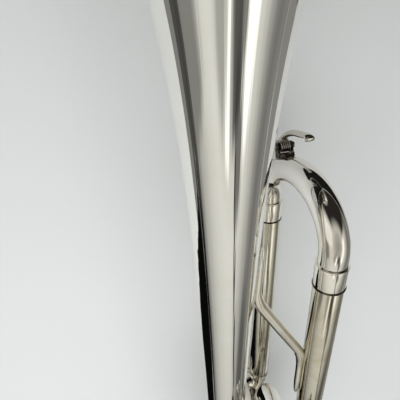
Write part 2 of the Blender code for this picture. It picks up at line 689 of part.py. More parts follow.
def make_leadpipe():
    matrix = along_x(LEADPIPE_Y, LEADPIPE_Z)
    profile = [(LEADPIPE_FRONT_RADIUS, LEADPIPE_FRONT_X), (LEADPIPE_REAR_RADIUS, LEADPIPE_REAR_X),
               (LEADPIPE_REAR_RADIUS - LEADPIPE_WALL, LEADPIPE_REAR_X),
               (LEADPIPE_FRONT_RADIUS - LEADPIPE_WALL, LEADPIPE_FRONT_X)]
    add_piece(turned("leadpipe", profile, TUBE_SIDES, matrix, closed=True), SILVER)
    rear = RECEIVER_REAR_X
    front = rear + RECEIVER_LENGTH
    step = RECEIVER_COLLAR_RADIUS - RECEIVER_RADIUS
    bore = RECEIVER_RADIUS - RECEIVER_WALL
    pipe_bore = LEADPIPE_FRONT_RADIUS
    seat = MOUTHPIECE_FRONT_X + 0.001
    profile = [(pipe_bore + LEADPIPE_WALL, front), (RECEIVER_RADIUS, front - 2 * step),
               (RECEIVER_RADIUS, rear + RECEIVER_COLLAR_LENGTH + step),
               (RECEIVER_COLLAR_RADIUS, rear + RECEIVER_COLLAR_LENGTH),
               (RECEIVER_COLLAR_RADIUS, rear + step), (RECEIVER_RADIUS, rear), (bore, rear),
               (SHANK_END_RADIUS + SEAT_GAP, seat), (SHANK_END_RADIUS + SEAT_GAP, LEADPIPE_REAR_X - SEAT_GAP),
               (pipe_bore, LEADPIPE_REAR_X - SEAT_GAP), (pipe_bore, front)]
    add_piece(turned("mouthpiece_receiver", profile, TUBE_SIDES, matrix, closed=True), SILVER)


def make_mouthpiece(carrier):
    rear, front = MOUTHPIECE_REAR_X, MOUTHPIECE_FRONT_X
    matrix = along_x(LEADPIPE_Y, LEADPIPE_Z)
    collar = RECEIVER_REAR_X - SEAT_GAP
    shank_at_collar = SHANK_START_RADIUS
    rim, cup = MOUTHPIECE_RIM_RADIUS, MOUTHPIECE_CUP_RADIUS
    body_end = rear + 2.2 * MOUTHPIECE_CUP_DEPTH
    outer = [(SHANK_END_RADIUS, front), (shank_at_collar, collar), (shank_at_collar, body_end + 0.012),
             (shank_at_collar * 1.15, body_end + 0.004), (rim * 0.72, body_end - 0.004),
             (rim * 0.86, rear + MOUTHPIECE_CUP_DEPTH), (rim * 0.88, rear + 0.0065), (rim, rear + 0.005),
             (rim, rear + 0.0022), (rim * 0.93, rear + 0.0005), (rim * 0.8, rear)]
    hollow = []
    for k in range(6):
        depth = MOUTHPIECE_CUP_DEPTH * k / 5
        share = math.sqrt(max(0.0, 1 - (k / 5) ** 2))
        hollow.append((max(cup * share, MOUTHPIECE_THROAT_RADIUS), rear + 0.0012 + depth))
    backbore = SHANK_END_RADIUS - 0.0009
    inner = hollow + [(MOUTHPIECE_THROAT_RADIUS, rear + MOUTHPIECE_CUP_DEPTH + 0.006), (backbore, front)]
    add_piece(turned("mouthpiece", outer + inner, TUBE_SIDES, matrix, closed=True), SILVER, carrier)


# Main tuning slide

def make_slide_sleeves():
    upper = sleeve("upper_slide_sleeve", SLEEVE_RADIUS, SLEEVE_WALL, UPPER_SLEEVE_REAR_X, SLEEVE_FRONT_X,
                   TUBE_SIDES, along_x(LEADPIPE_Y, LEADPIPE_Z))
    add_piece(upper, SILVER)
    rear = valve_x(3) + INLET_REACH + SEAT_GAP
    lower = sleeve("lower_slide_sleeve", SLEEVE_RADIUS, SLEEVE_WALL, rear, SLEEVE_FRONT_X, TUBE_SIDES,
                   along_x(LOWER_LEG_Y, LOWER_LEG_Z))
    add_piece(lower, SILVER)


def tuning_bow_point(angle, height):
    """A point on or above the outer side of the tuning bow; angle 0 is at its upper leg."""
    across = TUNING_UP * math.cos(angle) * TUNING_HALF_SPACING
    ahead = FORWARD * math.sin(angle) * TUNING_BOW_DEPTH
    return TUNING_MIDDLE + across + ahead + tuning_bow_normal(angle) * (TUNING_BOW_RADIUS + height)


def tuning_bow_normal(angle):
    across = TUNING_UP * math.cos(angle) / TUNING_HALF_SPACING
    ahead = FORWARD * math.sin(angle) / TUNING_BOW_DEPTH
    return (across + ahead).normalized()


def make_tuning_slide(carrier):
    rise = TUNING_UP * TUNING_HALF_SPACING
    bow = arc_points(TUNING_MIDDLE, rise, FORWARD * TUNING_BOW_DEPTH, 0, math.pi, 2 * BEND_STEPS)
    back = FORWARD * TUNING_BOW_STRAIGHT
    leg = FORWARD * (TUNING_BOW_STRAIGHT + FERRULE_LENGTH + TUNING_LEG_LENGTH)
    path = [bow[0] - leg, bow[0] - back] + bow + [bow[-1] - back, bow[-1] - leg]
    radii = [LEG_RADIUS, LEG_RADIUS] + [TUNING_BOW_RADIUS] * len(bow) + [LEG_RADIUS, LEG_RADIUS]
    add_piece(swept("tuning_slide_crook", path, radii, SMALL_SIDES, LEG_WALL), SILVER, carrier)
    bore = TUNING_BOW_RADIUS + SEAT_GAP
    rear = FERRULE_REAR_X
    front = rear + FERRULE_LENGTH
    lip = FERRULE_RADIUS + FERRULE_LIP
    profile = [(lip, front), (lip, front - FERRULE_LIP_LENGTH), (FERRULE_RADIUS, front - FERRULE_LIP_LENGTH),
               (FERRULE_RADIUS, rear + FERRULE_LIP_LENGTH), (lip, rear + FERRULE_LIP_LENGTH), (lip, rear),
               (bore, rear), (bore, front)]
    for label, y, z in (("upper", LEADPIPE_Y, LEADPIPE_Z), ("lower", LOWER_LEG_Y, LOWER_LEG_Z)):
        ferrule = turned(f"slide_ferrule_{label}", profile, TUBE_SIDES, along_x(y, z), closed=True)
        add_piece(ferrule, SILVER, carrier)


# Water key on the tuning bow

def key_frame(angle, height):
    """A frame on the tuning bow: Z away from it, Y along the screw, X along the bow."""
    return facing(tuning_bow_point(angle, height), tuning_bow_normal(angle), TUNING_SIDE.cross(
        tuning_bow_normal(angle)))


def make_water_key_saddle(carrier):
    base_place = key_frame(KEY_PIVOT_ANGLE, SEAT_GAP + KEY_SADDLE_BASE / 2)
    saddle = block("water_key_saddle", (KEY_SADDLE_LENGTH, KEY_SADDLE_WIDTH, KEY_SADDLE_BASE), base_place)
    lug_bottom = SEAT_GAP + KEY_SADDLE_BASE / 2
    lug_top = KEY_PIVOT_HEIGHT + KEY_LUG_RISE
    lug_middle = (lug_bottom + lug_top) / 2
    for side in (-1, 1):
        shift = Matrix.Translation((0, side * (KEY_SADDLE_WIDTH - KEY_LUG_THICKNESS) / 2, 0))
        lug = block("saddle_lug", (KEY_LUG_LENGTH, KEY_LUG_THICKNESS, lug_top - lug_bottom),
                    key_frame(KEY_PIVOT_ANGLE, lug_middle) @ shift)
        join(saddle, lug)
    hole = rod("saddle_hole", KEY_SCREW_RADIUS + SEAT_GAP, -KEY_SADDLE_WIDTH, KEY_SADDLE_WIDTH, 12,
               screw_frame())
    cut(saddle, hole)
    add_piece(saddle, SILVER, carrier)


def screw_frame():
    """Z along the water key's pivot screw."""
    return facing(tuning_bow_point(KEY_PIVOT_ANGLE, KEY_PIVOT_HEIGHT), TUNING_SIDE, FORWARD)


def make_water_key_screw(carrier):
    half = KEY_SADDLE_WIDTH / 2
    head = KEY_SCREW_RADIUS * 2.2
    under_head = half + SEAT_GAP
    profile = [(0, under_head + KEY_SCREW_HEAD), (head, under_head + KEY_SCREW_HEAD), (head, under_head),
               (KEY_SCREW_RADIUS, under_head), (KEY_SCREW_RADIUS, -half), (0, -half)]
    add_piece(turned("water_key_screw", profile, 12, screw_frame()), STEEL, carrier)


def make_water_key_spring(carrier):
    start = -KEY_SADDLE_WIDTH / 2 + KEY_LUG_THICKNESS + SEAT_GAP + KEY_SPRING_WIRE
    end = start + KEY_SPRING_PITCH * KEY_SPRING_TURNS
    curl = helix(KEY_SPRING_TURNS, KEY_SPRING_RADIUS, start, end, 10)
    first_arm = curl[0] + Vector((0, -KEY_SPRING_ARM, 0))
    last_arm = curl[-1] + Vector((0, -KEY_SPRING_ARM, 0))
    wire = [first_arm] + curl + [last_arm]
    print(f"water_key_spring least self gap {least_self_gap(wire, KEY_SPRING_WIRE, 6) * 1000:.2f} mm")
    place = facing(tuning_bow_point(KEY_PIVOT_ANGLE, KEY_PIVOT_HEIGHT), TUNING_SIDE,
                   tuning_bow_normal(KEY_PIVOT_ANGLE))
    points = [place @ p for p in wire]
    spring = swept("water_key_spring", points, [KEY_SPRING_WIRE] * len(points), 6)
    add_piece(spring, STEEL, carrier)


def bow_plane(point):
    """The place of a point in the tuning bow's own plane, along X and up its legs."""
    return ((point - TUNING_MIDDLE).dot(FORWARD), (point - TUNING_MIDDLE).dot(TUNING_UP))


def lever_height(angle):
    """Height of the lever's middle above the bow: low over the cork, arched to the tip."""
    low = KEY_NIPPLE_HEIGHT + KEY_CORK_THICKNESS + 3 * SEAT_GAP + KEY_LEVER_THICKNESS / 2
    if angle < KEY_SHOULDER_ANGLE:
        return KEY_LEVER_ARCH
    share = (angle - KEY_SHOULDER_ANGLE) / (KEY_NIPPLE_ANGLE - KEY_SHOULDER_ANGLE)
    return KEY_LEVER_ARCH + (low - KEY_LEVER_ARCH) * math.sin(min(share, 1) * math.pi / 2)


def make_water_key_lever(carrier):
    half = KEY_LEVER_THICKNESS / 2
    end_angle = KEY_NIPPLE_ANGLE + math.radians(5)
    count = 12
    angles = [end_angle + (KEY_LEVER_TIP_ANGLE - end_angle) * k / count for k in range(count + 1)]
    upper = [tuning_bow_point(a, lever_height(a) + half) for a in angles]
    left_tab = KEY_PIVOT_ANGLE + KEY_TAB_HALF_ANGLE
    right_tab = KEY_PIVOT_ANGLE - KEY_TAB_HALF_ANGLE
    tab_foot = KEY_PIVOT_HEIGHT - KEY_TAB_DROP
    lower = [tuning_bow_point(a, lever_height(a) - half) for a in angles if a > left_tab]
    lower += [tuning_bow_point(left_tab, lever_height(left_tab) - half), tuning_bow_point(left_tab, tab_foot),
              tuning_bow_point(right_tab, tab_foot), tuning_bow_point(right_tab, KEY_LEVER_ARCH - half)]
    lower += [tuning_bow_point(a, lever_height(a) - half) for a in angles if a < right_tab]
    curve = bpy.data.curves.new("water_key_lever", 'CURVE')
    curve.dimensions = '2D'
    curve.fill_mode = 'BOTH'
    curve.extrude = KEY_LEVER_WIDTH / 2
    hole = arc_points(tuning_bow_point(KEY_PIVOT_ANGLE, KEY_PIVOT_HEIGHT),
                      FORWARD * (KEY_SCREW_RADIUS + SEAT_GAP), TUNING_UP * (KEY_SCREW_RADIUS + SEAT_GAP),
                      0, 2 * math.pi * 11 / 12, 11)
    for outline in (upper + lower[::-1], hole):
        spline = curve.splines.new('POLY')
        spline.points.add(len(outline) - 1)
        spline.use_cyclic_u = True
        for knot, point in zip(spline.points, outline):
            knot.co = (*bow_plane(point), 0, 1)
    columns = Matrix((FORWARD, TUNING_UP, TUNING_SIDE)).transposed().to_4x4()
    place = Matrix.Translation(TUNING_MIDDLE + TUNING_SIDE * KEY_LEVER_SIDE) @ columns
    add_piece(helper("water_key_lever", welded_mesh("water_key_lever", curve), place), SILVER, carrier)
    cork_foot = KEY_NIPPLE_HEIGHT + 2 * SEAT_GAP
    cork = rod("water_key_cork", KEY_CORK_RADIUS, cork_foot, cork_foot + KEY_CORK_THICKNESS, 12,
               key_frame(KEY_NIPPLE_ANGLE, 0))
    add_piece(cork, CORK, carrier)


def make_water_key_nipple(carrier):
    nipple = sleeve("water_key_nipple", KEY_NIPPLE_RADIUS, KEY_NIPPLE_RADIUS - KEY_NIPPLE_BORE, SEAT_GAP,
                    SEAT_GAP + KEY_NIPPLE_HEIGHT, 12, key_frame(KEY_NIPPLE_ANGLE, 0))
    add_piece(nipple, SILVER, carrier)


# First, second and third valve slides

def make_sleeve_pair(name, top, bottom, outward, length):
    """Two outer sleeves that leave a casing's knuckles, held apart by a post."""
    shapes = []
    for label, start in (("top", top), ("bottom", bottom)):
        shapes.append(sleeve(name if label == "top" else f"{name}_bottom", SLEEVE_RADIUS, SLEEVE_WALL, 0, length,
                             TUBE_SIDES, facing(start, outward, Vector((0, 0, 1)))))
    spread = (top - bottom).length
    reach = SLEEVE_RADIUS - SLEEVE_POST_BITE
    post = rod(f"{name}_post", SLEEVE_POST_RADIUS, reach, spread - reach, 12,
               facing(bottom + outward * length / 2, top - bottom, outward))
    join(shapes[0], post, shapes[1])
    add_piece(shapes[0], SILVER)


def make_valve_slide(label, top, bottom, outward, sleeve_length, carrier):
    make_sleeve_pair(f"{label}_slide_sleeves", top, bottom, outward, sleeve_length)
    shift = outward * sleeve_length
    leg = sleeve_length - SLIDE_LEG_RECESS
    bow = crook(f"{label}_slide_crook", top + shift, bottom + shift, outward, leg, SLIDE_BOW_STEP, LEG_RADIUS)
    add_piece(bow, SILVER, carrier)
    return top + shift


def make_first_slide(carrier):
    start_x = valve_x(1) - KNUCKLE_REACH - SEAT_GAP
    top = Vector((start_x, FIRST_SLIDE_Y, FIRST_SLIDE_TOP_Z))
    bottom = Vector((start_x, FIRST_SLIDE_Y, FIRST_SLIDE_BOTTOM_Z))
    mouth = make_valve_slide("first", top, bottom, -FORWARD, FIRST_SLEEVE_LENGTH, carrier)
    lean = Vector((0, math.sin(SADDLE_LEAN), math.cos(SADDLE_LEAN)))
    across = Vector((0, math.cos(SADDLE_LEAN), -math.sin(SADDLE_LEAN)))
    seat = mouth - FORWARD * SADDLE_STEP
    middle = seat + lean * (LEG_RADIUS + SEAT_GAP + SADDLE_WIRE + SADDLE_RADIUS)
    loop = arc_points(middle, -lean * SADDLE_RADIUS, across * SADDLE_RADIUS, -SADDLE_REACH, SADDLE_REACH, 12)
    add_piece(swept("first_slide_saddle", loop, [SADDLE_WIRE] * len(loop), 10), SILVER, carrier)


def make_second_slide(carrier):
    start_y = VALVE_Y - SECOND_KNUCKLE_REACH - SEAT_GAP
    top = Vector((valve_x(2), start_y, SECOND_SLIDE_TOP_Z))
    bottom = Vector((valve_x(2), start_y, SECOND_SLIDE_BOTTOM_Z))
    make_valve_slide("second", top, bottom, Vector((0, -1, 0)), SECOND_SLEEVE_LENGTH, carrier)


def make_third_slide(carrier):
    start_x = valve_x(3) + KNUCKLE_REACH + SEAT_GAP
    top = Vector((start_x, THIRD_SLIDE_Y, THIRD_SLIDE_TOP_Z))
    bottom = Vector((start_x, THIRD_SLIDE_Y, THIRD_SLIDE_BOTTOM_Z))
    mouth = make_valve_slide("third", top, bottom, FORWARD, THIRD_SLEEVE_LENGTH, carrier)
    up = Vector((0, 0, 1))
    radius = FINGER_RING_RADIUS
    middle = mouth + FORWARD * FINGER_RING_STEP + up * (LEG_RADIUS + SEAT_GAP + FINGER_RING_WIRE + radius)
    sides = 8
    profile = []
    for k in range(sides):
        a = -2 * math.pi * k / sides
        profile.append((radius + FINGER_RING_WIRE * math.cos(a), FINGER_RING_WIRE * math.sin(a)))
    ring = turned("third_slide_ring", profile, TUBE_SIDES, facing(middle, Vector((0, 1, 0)), up), closed=True)
    add_piece(ring, SILVER, carrier)


# Braces and hook

def brace_side(axis_y, axis_z, radius, z, towards):
    """Side place of a brace's foot that lies along a round tube at height z."""
    reach = radius + SEAT_GAP + BRACE_RADIUS
    return axis_y + towards * math.sqrt(reach ** 2 - (z - axis_z) ** 2)


def make_brace(name, bell_steps, pipe_steps, z, pipe_radius):
    corners = []
    for step in bell_steps:
        x = BELL_TAIL_X + step
        corners.append(Vector((x, brace_side(0, 0, bell_radius(-x), z, -1), z)))
    for step in pipe_steps:
        side = brace_side(LEADPIPE_Y, LEADPIPE_Z, pipe_radius, z, 1)
        corners.append(Vector((BELL_TAIL_X + step, side, z)))
    path = rounded(corners, BRACE_BEND)
    radii = [BRACE_RADIUS] * len(path)
    radii[0] = radii[-1] = BRACE_RADIUS * BRACE_TIP_SHARE
    add_piece(swept(name, path, radii, 12), SILVER)


def make_casing_post():
    start = -bell_radius(-valve_x(2)) - SEAT_GAP
    end = VALVE_Y + CASING_RADIUS + SEAT_GAP
    points = [Vector((valve_x(2), start, 0)), Vector((valve_x(2), end, 0))]
    add_piece(swept("bell_casing_post", points, [CASING_POST_RADIUS] * 2, 12), SILVER)


def make_finger_hook():
    foot = LEADPIPE_Z + SLEEVE_RADIUS + SEAT_GAP + HOOK_WIRE
    middle = Vector((UPPER_SLEEVE_REAR_X + HOOK_STEP, LEADPIPE_Y, foot + HOOK_RADIUS))
    loop = arc_points(middle, -FORWARD * HOOK_RADIUS, Vector((0, 0, HOOK_RADIUS)), HOOK_START, HOOK_END, 14)
    add_piece(swept("finger_hook", loop, [HOOK_WIRE] * len(loop), 10), SILVER)


# Assembly

tuning_slide = body("tuning_slide", TUNING_MIDDLE)
water_key = body("water_key", tuning_bow_point(KEY_PIVOT_ANGLE, KEY_PIVOT_HEIGHT))
first_slide = body("first_slide", Vector((valve_x(1), FIRST_SLIDE_Y, FIRST_SLIDE_TOP_Z)))
second_slide = body("second_slide", Vector((valve_x(2), VALVE_Y, SECOND_SLIDE_TOP_Z)))
third_slide = body("third_slide", Vector((valve_x(3), THIRD_SLIDE_Y, THIRD_SLIDE_TOP_Z)))
mouthpiece = body("mouthpiece_body", Vector((MOUTHPIECE_REAR_X, LEADPIPE_Y, LEADPIPE_Z)))

make_bell()
make_rim_wire()
make_bell_bow()
for valve in (1, 2, 3):
    plunger = body(f"valve_{valve}", Vector((valve_x(valve), VALVE_Y, 0)))
    make_casing(valve)
    make_caps(valve)
    make_piston(valve, plunger)
    make_guide(valve)
    make_spring(valve)
    make_finger_button(valve, plunger)
make_leadpipe()
make_mouthpiece(mouthpiece)
make_slide_sleeves()
make_tuning_slide(tuning_slide)
make_water_key_saddle(tuning_slide)
make_water_key_screw(tuning_slide)
make_water_key_spring(tuning_slide)
make_water_key_nipple(tuning_slide)
make_water_key_lever(water_key)
make_first_slide(first_slide)
make_second_slide(second_slide)
make_third_slide(third_slide)
make_brace("front_brace", FRONT_BRACE_BELL_AHEAD, FRONT_BRACE_PIPE_AHEAD, FRONT_BRACE_Z, SLEEVE_RADIUS)
make_brace("rear_brace", REAR_BRACE_BELL_AHEAD, REAR_BRACE_PIPE_AHEAD, REAR_BRACE_Z, LEADPIPE_REAR_RADIUS)
make_casing_post()
make_finger_hook()
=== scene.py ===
"""The looks of a silver-plated piston trumpet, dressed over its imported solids.

Lengths are millimetres from the middle of the bell's mouth: x runs out of the bell,
y to the player's left and z up out of the valves. place() turns them into metres.
"""

import math

import bmesh
import bpy
from mathutils import Matrix, Vector


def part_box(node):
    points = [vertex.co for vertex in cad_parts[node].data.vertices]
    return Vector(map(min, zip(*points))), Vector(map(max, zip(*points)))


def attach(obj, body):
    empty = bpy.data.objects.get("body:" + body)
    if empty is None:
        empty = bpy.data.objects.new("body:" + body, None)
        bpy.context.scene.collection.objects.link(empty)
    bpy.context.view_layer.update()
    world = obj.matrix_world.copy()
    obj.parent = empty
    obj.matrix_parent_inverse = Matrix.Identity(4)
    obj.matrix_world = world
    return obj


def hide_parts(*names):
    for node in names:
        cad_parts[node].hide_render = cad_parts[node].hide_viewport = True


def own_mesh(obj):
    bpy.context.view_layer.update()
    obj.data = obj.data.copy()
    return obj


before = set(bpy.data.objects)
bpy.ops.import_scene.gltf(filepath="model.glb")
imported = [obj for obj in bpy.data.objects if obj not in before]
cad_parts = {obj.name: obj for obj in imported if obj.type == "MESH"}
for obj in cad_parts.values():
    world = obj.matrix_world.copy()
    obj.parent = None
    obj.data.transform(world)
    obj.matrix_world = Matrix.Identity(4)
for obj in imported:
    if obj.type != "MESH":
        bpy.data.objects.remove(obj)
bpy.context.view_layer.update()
bell_low, bell_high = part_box("bell")
MOUTH = Vector((bell_high[0], (bell_low[1] + bell_high[1]) / 2, (bell_low[2] + bell_high[2]) / 2))

# Bell
BELL_RIM = 61.5
BELL_FLARE = 19.2
BELL_POWER = 0.70
BELL_LENGTH = 408.0
BELL_WALL = 0.5
RIM_ROLL = 60.9
RIM_ROLL_BEHIND = 1.9
RIM_ROLL_RADIUS = 1.35

# Main tubes
PIPE_Y, PIPE_Z = -45.4, 2.5
LOWER_Y, LOWER_Z = -35.9, -56.3
SLEEVE = 6.53
SLEEVE_BORE = 6.18
MAIN_SLEEVE = 6.72
LEG = 5.83
SLEEVE_FRONT = -175.1
UPPER_SLEEVE_REAR = -305.1
LOWER_SLEEVE_REAR = -310.2
FERRULE_REAR = -174.8
FERRULE_FRONT = -162.7
FERRULE = 7.06
FERRULE_BORE = 6.3
BOW = 6.0
BOW_X = -159.3
BOW_DEPTH = 24.4
BOW_SWELL = 0.45
BOW_LEGS_BACK = 95.5

# Valves
VALVE_Y = -27.0
VALVE_X = {1: -377.0, 2: -354.0, 3: -331.0}
CASING = 10.0
CASING_BORE = 8.6
CASING_TOP, CASING_FOOT = 35.0, -79.2
KNUCKLE = 6.1
KNURL_COUNT = 54
KNURL_RIDGE = 0.42

X_AXIS, Y_AXIS, Z_AXIS = Vector((1, 0, 0)), Vector((0, 1, 0)), Vector((0, 0, 1))
MILLIMETRE = 0.001


def place(point):
    return MOUTH + Vector(point) * MILLIMETRE


# Shader and geometry nodes written as plain maths

class Sock:
    """A node's output that can be used in sums; each step adds a Math node."""

    def __init__(self, web, socket):
        self.web, self.socket = web, socket

    def math(self, operation, *values):
        return self.web.add("ShaderNodeMath", {"operation": operation}, dict(enumerate(values)))

    def __add__(self, other):
        return self.math("ADD", self, other)

    def __radd__(self, other):
        return self.math("ADD", other, self)

    def __sub__(self, other):
        return self.math("SUBTRACT", self, other)

    def __rsub__(self, other):
        return self.math("SUBTRACT", other, self)

    def __mul__(self, other):
        return self.math("MULTIPLY", self, other)

    def __rmul__(self, other):
        return self.math("MULTIPLY", other, self)

    def __truediv__(self, other):
        return self.math("DIVIDE", self, other)

    def __rtruediv__(self, other):
        return self.math("DIVIDE", other, self)

    def __pow__(self, other):
        return self.math("POWER", self, other)

    def size(self):
        return self.math("ABSOLUTE", self)

    def least(self, other):
        return self.math("MINIMUM", self, other)

    def most(self, other):
        return self.math("MAXIMUM", self, other)

    def ease(self, low, high):
        """0 below low, 1 above high, and a smooth step between."""
        settings = {"interpolation_type": "SMOOTHSTEP"}
        return self.web.add("ShaderNodeMapRange", settings, {"Value": self, "From Min": low, "From Max": high})

    def band(self, start, full, full_end, end):
        return self.ease(start, full) * (1 - self.ease(full_end, end))

    def other(self, name):
        return Sock(self.web, self.socket.node.outputs[name])


class Web:
    """A node tree that is being written."""

    def __init__(self, tree):
        self.tree = tree

    def add(self, kind, settings=None, sockets=None, out=0):
        node = self.tree.nodes.new(kind)
        for key, value in (settings or {}).items():
            if key == "stops":
                self.fill_ramp(node.color_ramp, value)
            else:
                setattr(node, key, value)
        for key, value in (sockets or {}).items():
            self.feed(node.inputs[key], value)
        return Sock(self, node.outputs[out]) if node.outputs else node

    def feed(self, socket, value):
        if isinstance(value, Sock):
            self.tree.links.new(value.socket, socket)
        else:
            socket.default_value = value

    def fill_ramp(self, ramp, stops):
        while len(ramp.elements) < len(stops):
            ramp.elements.new(1.0)
        for element, (position, colour) in zip(ramp.elements, stops):
            element.position = position
            element.color = (*colour, 1)

    def mix(self, factor, first, second):
        """A colour between first and second."""
        sockets = {"Factor": factor}
        made = self.add("ShaderNodeMix", {"data_type": "RGBA"}, sockets, out=2)
        self.feed(made.socket.node.inputs[6], self.colour(first))
        self.feed(made.socket.node.inputs[7], self.colour(second))
        return made

    def colour(self, value):
        return value if isinstance(value, Sock) else (*value, 1)

    def noise(self, at, scale, detail=3.0, roughness=0.5):
        sockets = {"Vector": at, "Scale": scale, "Detail": detail, "Roughness": roughness}
        return self.add("ShaderNodeTexNoise", {}, sockets)

    def stretched(self, at, scales):
        return self.add("ShaderNodeMapping", {}, {"Vector": at, "Scale": scales})

    def vector(self, x, y, z):
        return self.add("ShaderNodeCombineXYZ", {}, {0: x, 1: y, 2: z})

    def split(self, at):
        made = self.add("ShaderNodeSeparateXYZ", {}, {0: at})
        return made, made.other("Y"), made.other("Z")


class Finish:
    """One procedural material with a Principled shader."""

    def __init__(self, name, **sockets):
        self.material = bpy.data.materials.new(name)
        self.material.use_nodes = True
        self.web = Web(self.material.node_tree)
        self.shader = self.material.node_tree.nodes["Principled BSDF"]
        self.at = self.web.add("ShaderNodeTexCoord", out="Object")
        for key, value in sockets.items():
            self.set(key.replace("_", " "), value)

    def set(self, key, value):
        self.web.feed(self.shader.inputs[key], value)

    def bump(self, height, strength, distance):
        sockets = {"Height": height, "Strength": strength, "Distance": distance}
        self.set("Normal", self.web.add("ShaderNodeBump", {}, sockets))


# Finishes

def along_horn(web, at):
    """Places that stay the same along each straight line from the bell's rim to its tail."""
    x, y, z = web.split(at)
    y, z = y - MOUTH.y, z - MOUTH.z
    radius = (y * y + z * z) ** 0.5
    return web.vector(x * 5, y / radius * 11, z / radius * 11)


def silver_plate(name, roughness, tarnish, draw, bright=(0.945, 0.935, 0.895), dull=(0.900, 0.885, 0.830),
                 stain=(0.60, 0.47, 0.31), ripple=0.000001):
    """Polished silver: hairlines along the drawing direction, smudges and a warm tarnish."""
    finish = Finish(name, Metallic=1.0)
    web, at = finish.web, finish.at
    clouds = web.noise(at, 38.0, 4.0, 0.55)
    smudge = web.noise(at, 210.0, 3.0, 0.6)
    hairs = web.noise(draw(web, at) if callable(draw) else web.stretched(at, draw), 1.0, 2.0, 0.6)
    specks = web.noise(at, 900.0, 2.0, 0.5).ease(0.70, 0.80)
    mask = (clouds.ease(0.46, 0.72) * tarnish + specks * tarnish * 0.4).least(1.0)
    finish.set("Base Color", web.mix(mask, web.mix(smudge * 0.5 + hairs * 0.5, bright, dull), stain))
    grain = smudge.ease(0.45, 0.75) * 0.04 + hairs.ease(0.55, 0.80) * 0.04
    finish.set("Roughness", roughness + grain + mask * 0.16)
    finish.bump(hairs, 1.0, ripple)
    return finish.material


def dark_silver(name):
    """Silver that has gone nearly black in a place no cloth reaches; on the tuning slide's ferrule rings the
    same near-black is painted shade.
    """
    finish = Finish(name, Metallic=1.0)
    web, at = finish.web, finish.at
    patches = web.noise(at, 420.0, 4.0, 0.6)
    finish.set("Base Color", web.mix(patches.ease(0.42, 0.70), (0.030, 0.022, 0.017), (0.30, 0.24, 0.19)))
    finish.set("Roughness", 0.14 + patches * 0.22)
    finish.bump(patches, 0.2, 0.00008)
    return finish.material


def lapped_metal(name):
    """Nickel alloy ground round and round, for the pistons."""
    finish = Finish(name, Metallic=1.0)
    web, at = finish.web, finish.at
    rings = web.noise(web.stretched(at, (60, 60, 5200)), 1.0, 2.0, 0.6)
    finish.set("Base Color", web.mix(rings, (0.62, 0.61, 0.58), (0.50, 0.49, 0.46)))
    finish.set("Roughness", 0.20 + rings * 0.18)
    finish.bump(rings, 0.1, 0.00003)
    return finish.material


def spring_steel(name):
    finish = Finish(name, Metallic=1.0)
    web, at = finish.web, finish.at
    drawn = web.noise(at, 1500.0, 3.0, 0.6)
    finish.set("Base Color", web.mix(drawn, (0.58, 0.53, 0.48), (0.26, 0.22, 0.19)))
    finish.set("Roughness", 0.14 + drawn * 0.20)
    return finish.material


def mother_of_pearl(name):
    """Nacre: soft layered bands that turn from pink to green under a clear polish."""
    finish = Finish(name, Coat_Weight=1.0, Coat_Roughness=0.04, IOR=1.53)
    web, at = finish.web, finish.at
    fold = web.noise(at, 190.0, 3.0, 0.5)
    layers = web.noise(web.stretched(at, (520, 180, 180)), 1.0, 4.0, 0.55) + fold * 0.6
    settings = {"stops": [(0.30, (0.86, 0.80, 0.78)), (0.48, (0.93, 0.91, 0.88)), (0.62, (0.78, 0.84, 0.80)),
                          (0.80, (0.90, 0.84, 0.87))]}
    finish.set("Base Color", web.add("ShaderNodeValToRGB", settings, {0: layers * 0.7}))
    finish.set("Roughness", 0.16 + fold * 0.14)
    finish.bump(layers, 0.05, 0.00005)
    return finish.material


def black_felt(name):
    finish = Finish(name, Sheen_Weight=0.6, Sheen_Roughness=0.5)
    web, at = finish.web, finish.at
    fibre = web.noise(at, 2600.0, 4.0, 0.7)
    finish.set("Base Color", web.mix(fibre.ease(0.3, 0.7), (0.020, 0.020, 0.022), (0.085, 0.083, 0.085)))
    finish.set("Roughness", 0.85 + fibre * 0.15)
    finish.bump(fibre, 0.7, 0.0003)
    return finish.material


def cork_pad(name):
    finish = Finish(name)
    web, at = finish.web, finish.at
    cells = web.add("ShaderNodeTexVoronoi", {}, {"Vector": at, "Scale": 1600.0})
    tone = web.noise(at, 700.0, 3.0, 0.6)
    finish.set("Base Color", web.mix(tone.ease(0.35, 0.65), (0.52, 0.34, 0.18), (0.30, 0.18, 0.09)))
    finish.set("Roughness", 0.82 + tone * 0.15)
    finish.bump(cells, 0.5, 0.0002)
    return finish.material


def nylon(name):
    finish = Finish(name)
    web, at = finish.web, finish.at
    flow = web.noise(at, 300.0, 3.0, 0.5)
    finish.set("Base Color", web.mix(flow, (0.74, 0.71, 0.64), (0.66, 0.62, 0.54)))
    finish.set("Roughness", 0.42 + flow * 0.15)
    return finish.material


bell_silver = silver_plate("bell_silver", 0.012, 0.06, along_horn, dull=(0.84, 0.83, 0.78), ripple=0.000035)
tube_silver = silver_plate("tube_silver", 0.055, 0.25, (60, 1400, 1400))
sleeve_silver = silver_plate("sleeve_silver", 0.075, 0.55, (60, 1400, 1400),
                             (0.74, 0.715, 0.615), (0.66, 0.62, 0.51), (0.46, 0.36, 0.22))
ferrule_silver = silver_plate("ferrule_silver", 0.060, 0.30, (900, 900, 900),
                              (0.97, 0.94, 0.86), (0.90, 0.86, 0.76))
slide_silver = silver_plate("slide_silver", 0.050, 0.30, (900, 900, 900),
                            (0.90, 0.88, 0.83), (0.84, 0.81, 0.75))
fitting_silver = silver_plate("fitting_silver", 0.060, 0.40, (900, 900, 900),
                              (0.88, 0.86, 0.79), (0.80, 0.77, 0.68))
valve_silver = silver_plate("valve_silver", 0.055, 0.35, (1400, 1400, 60),
                            (0.90, 0.875, 0.80), (0.80, 0.76, 0.66))
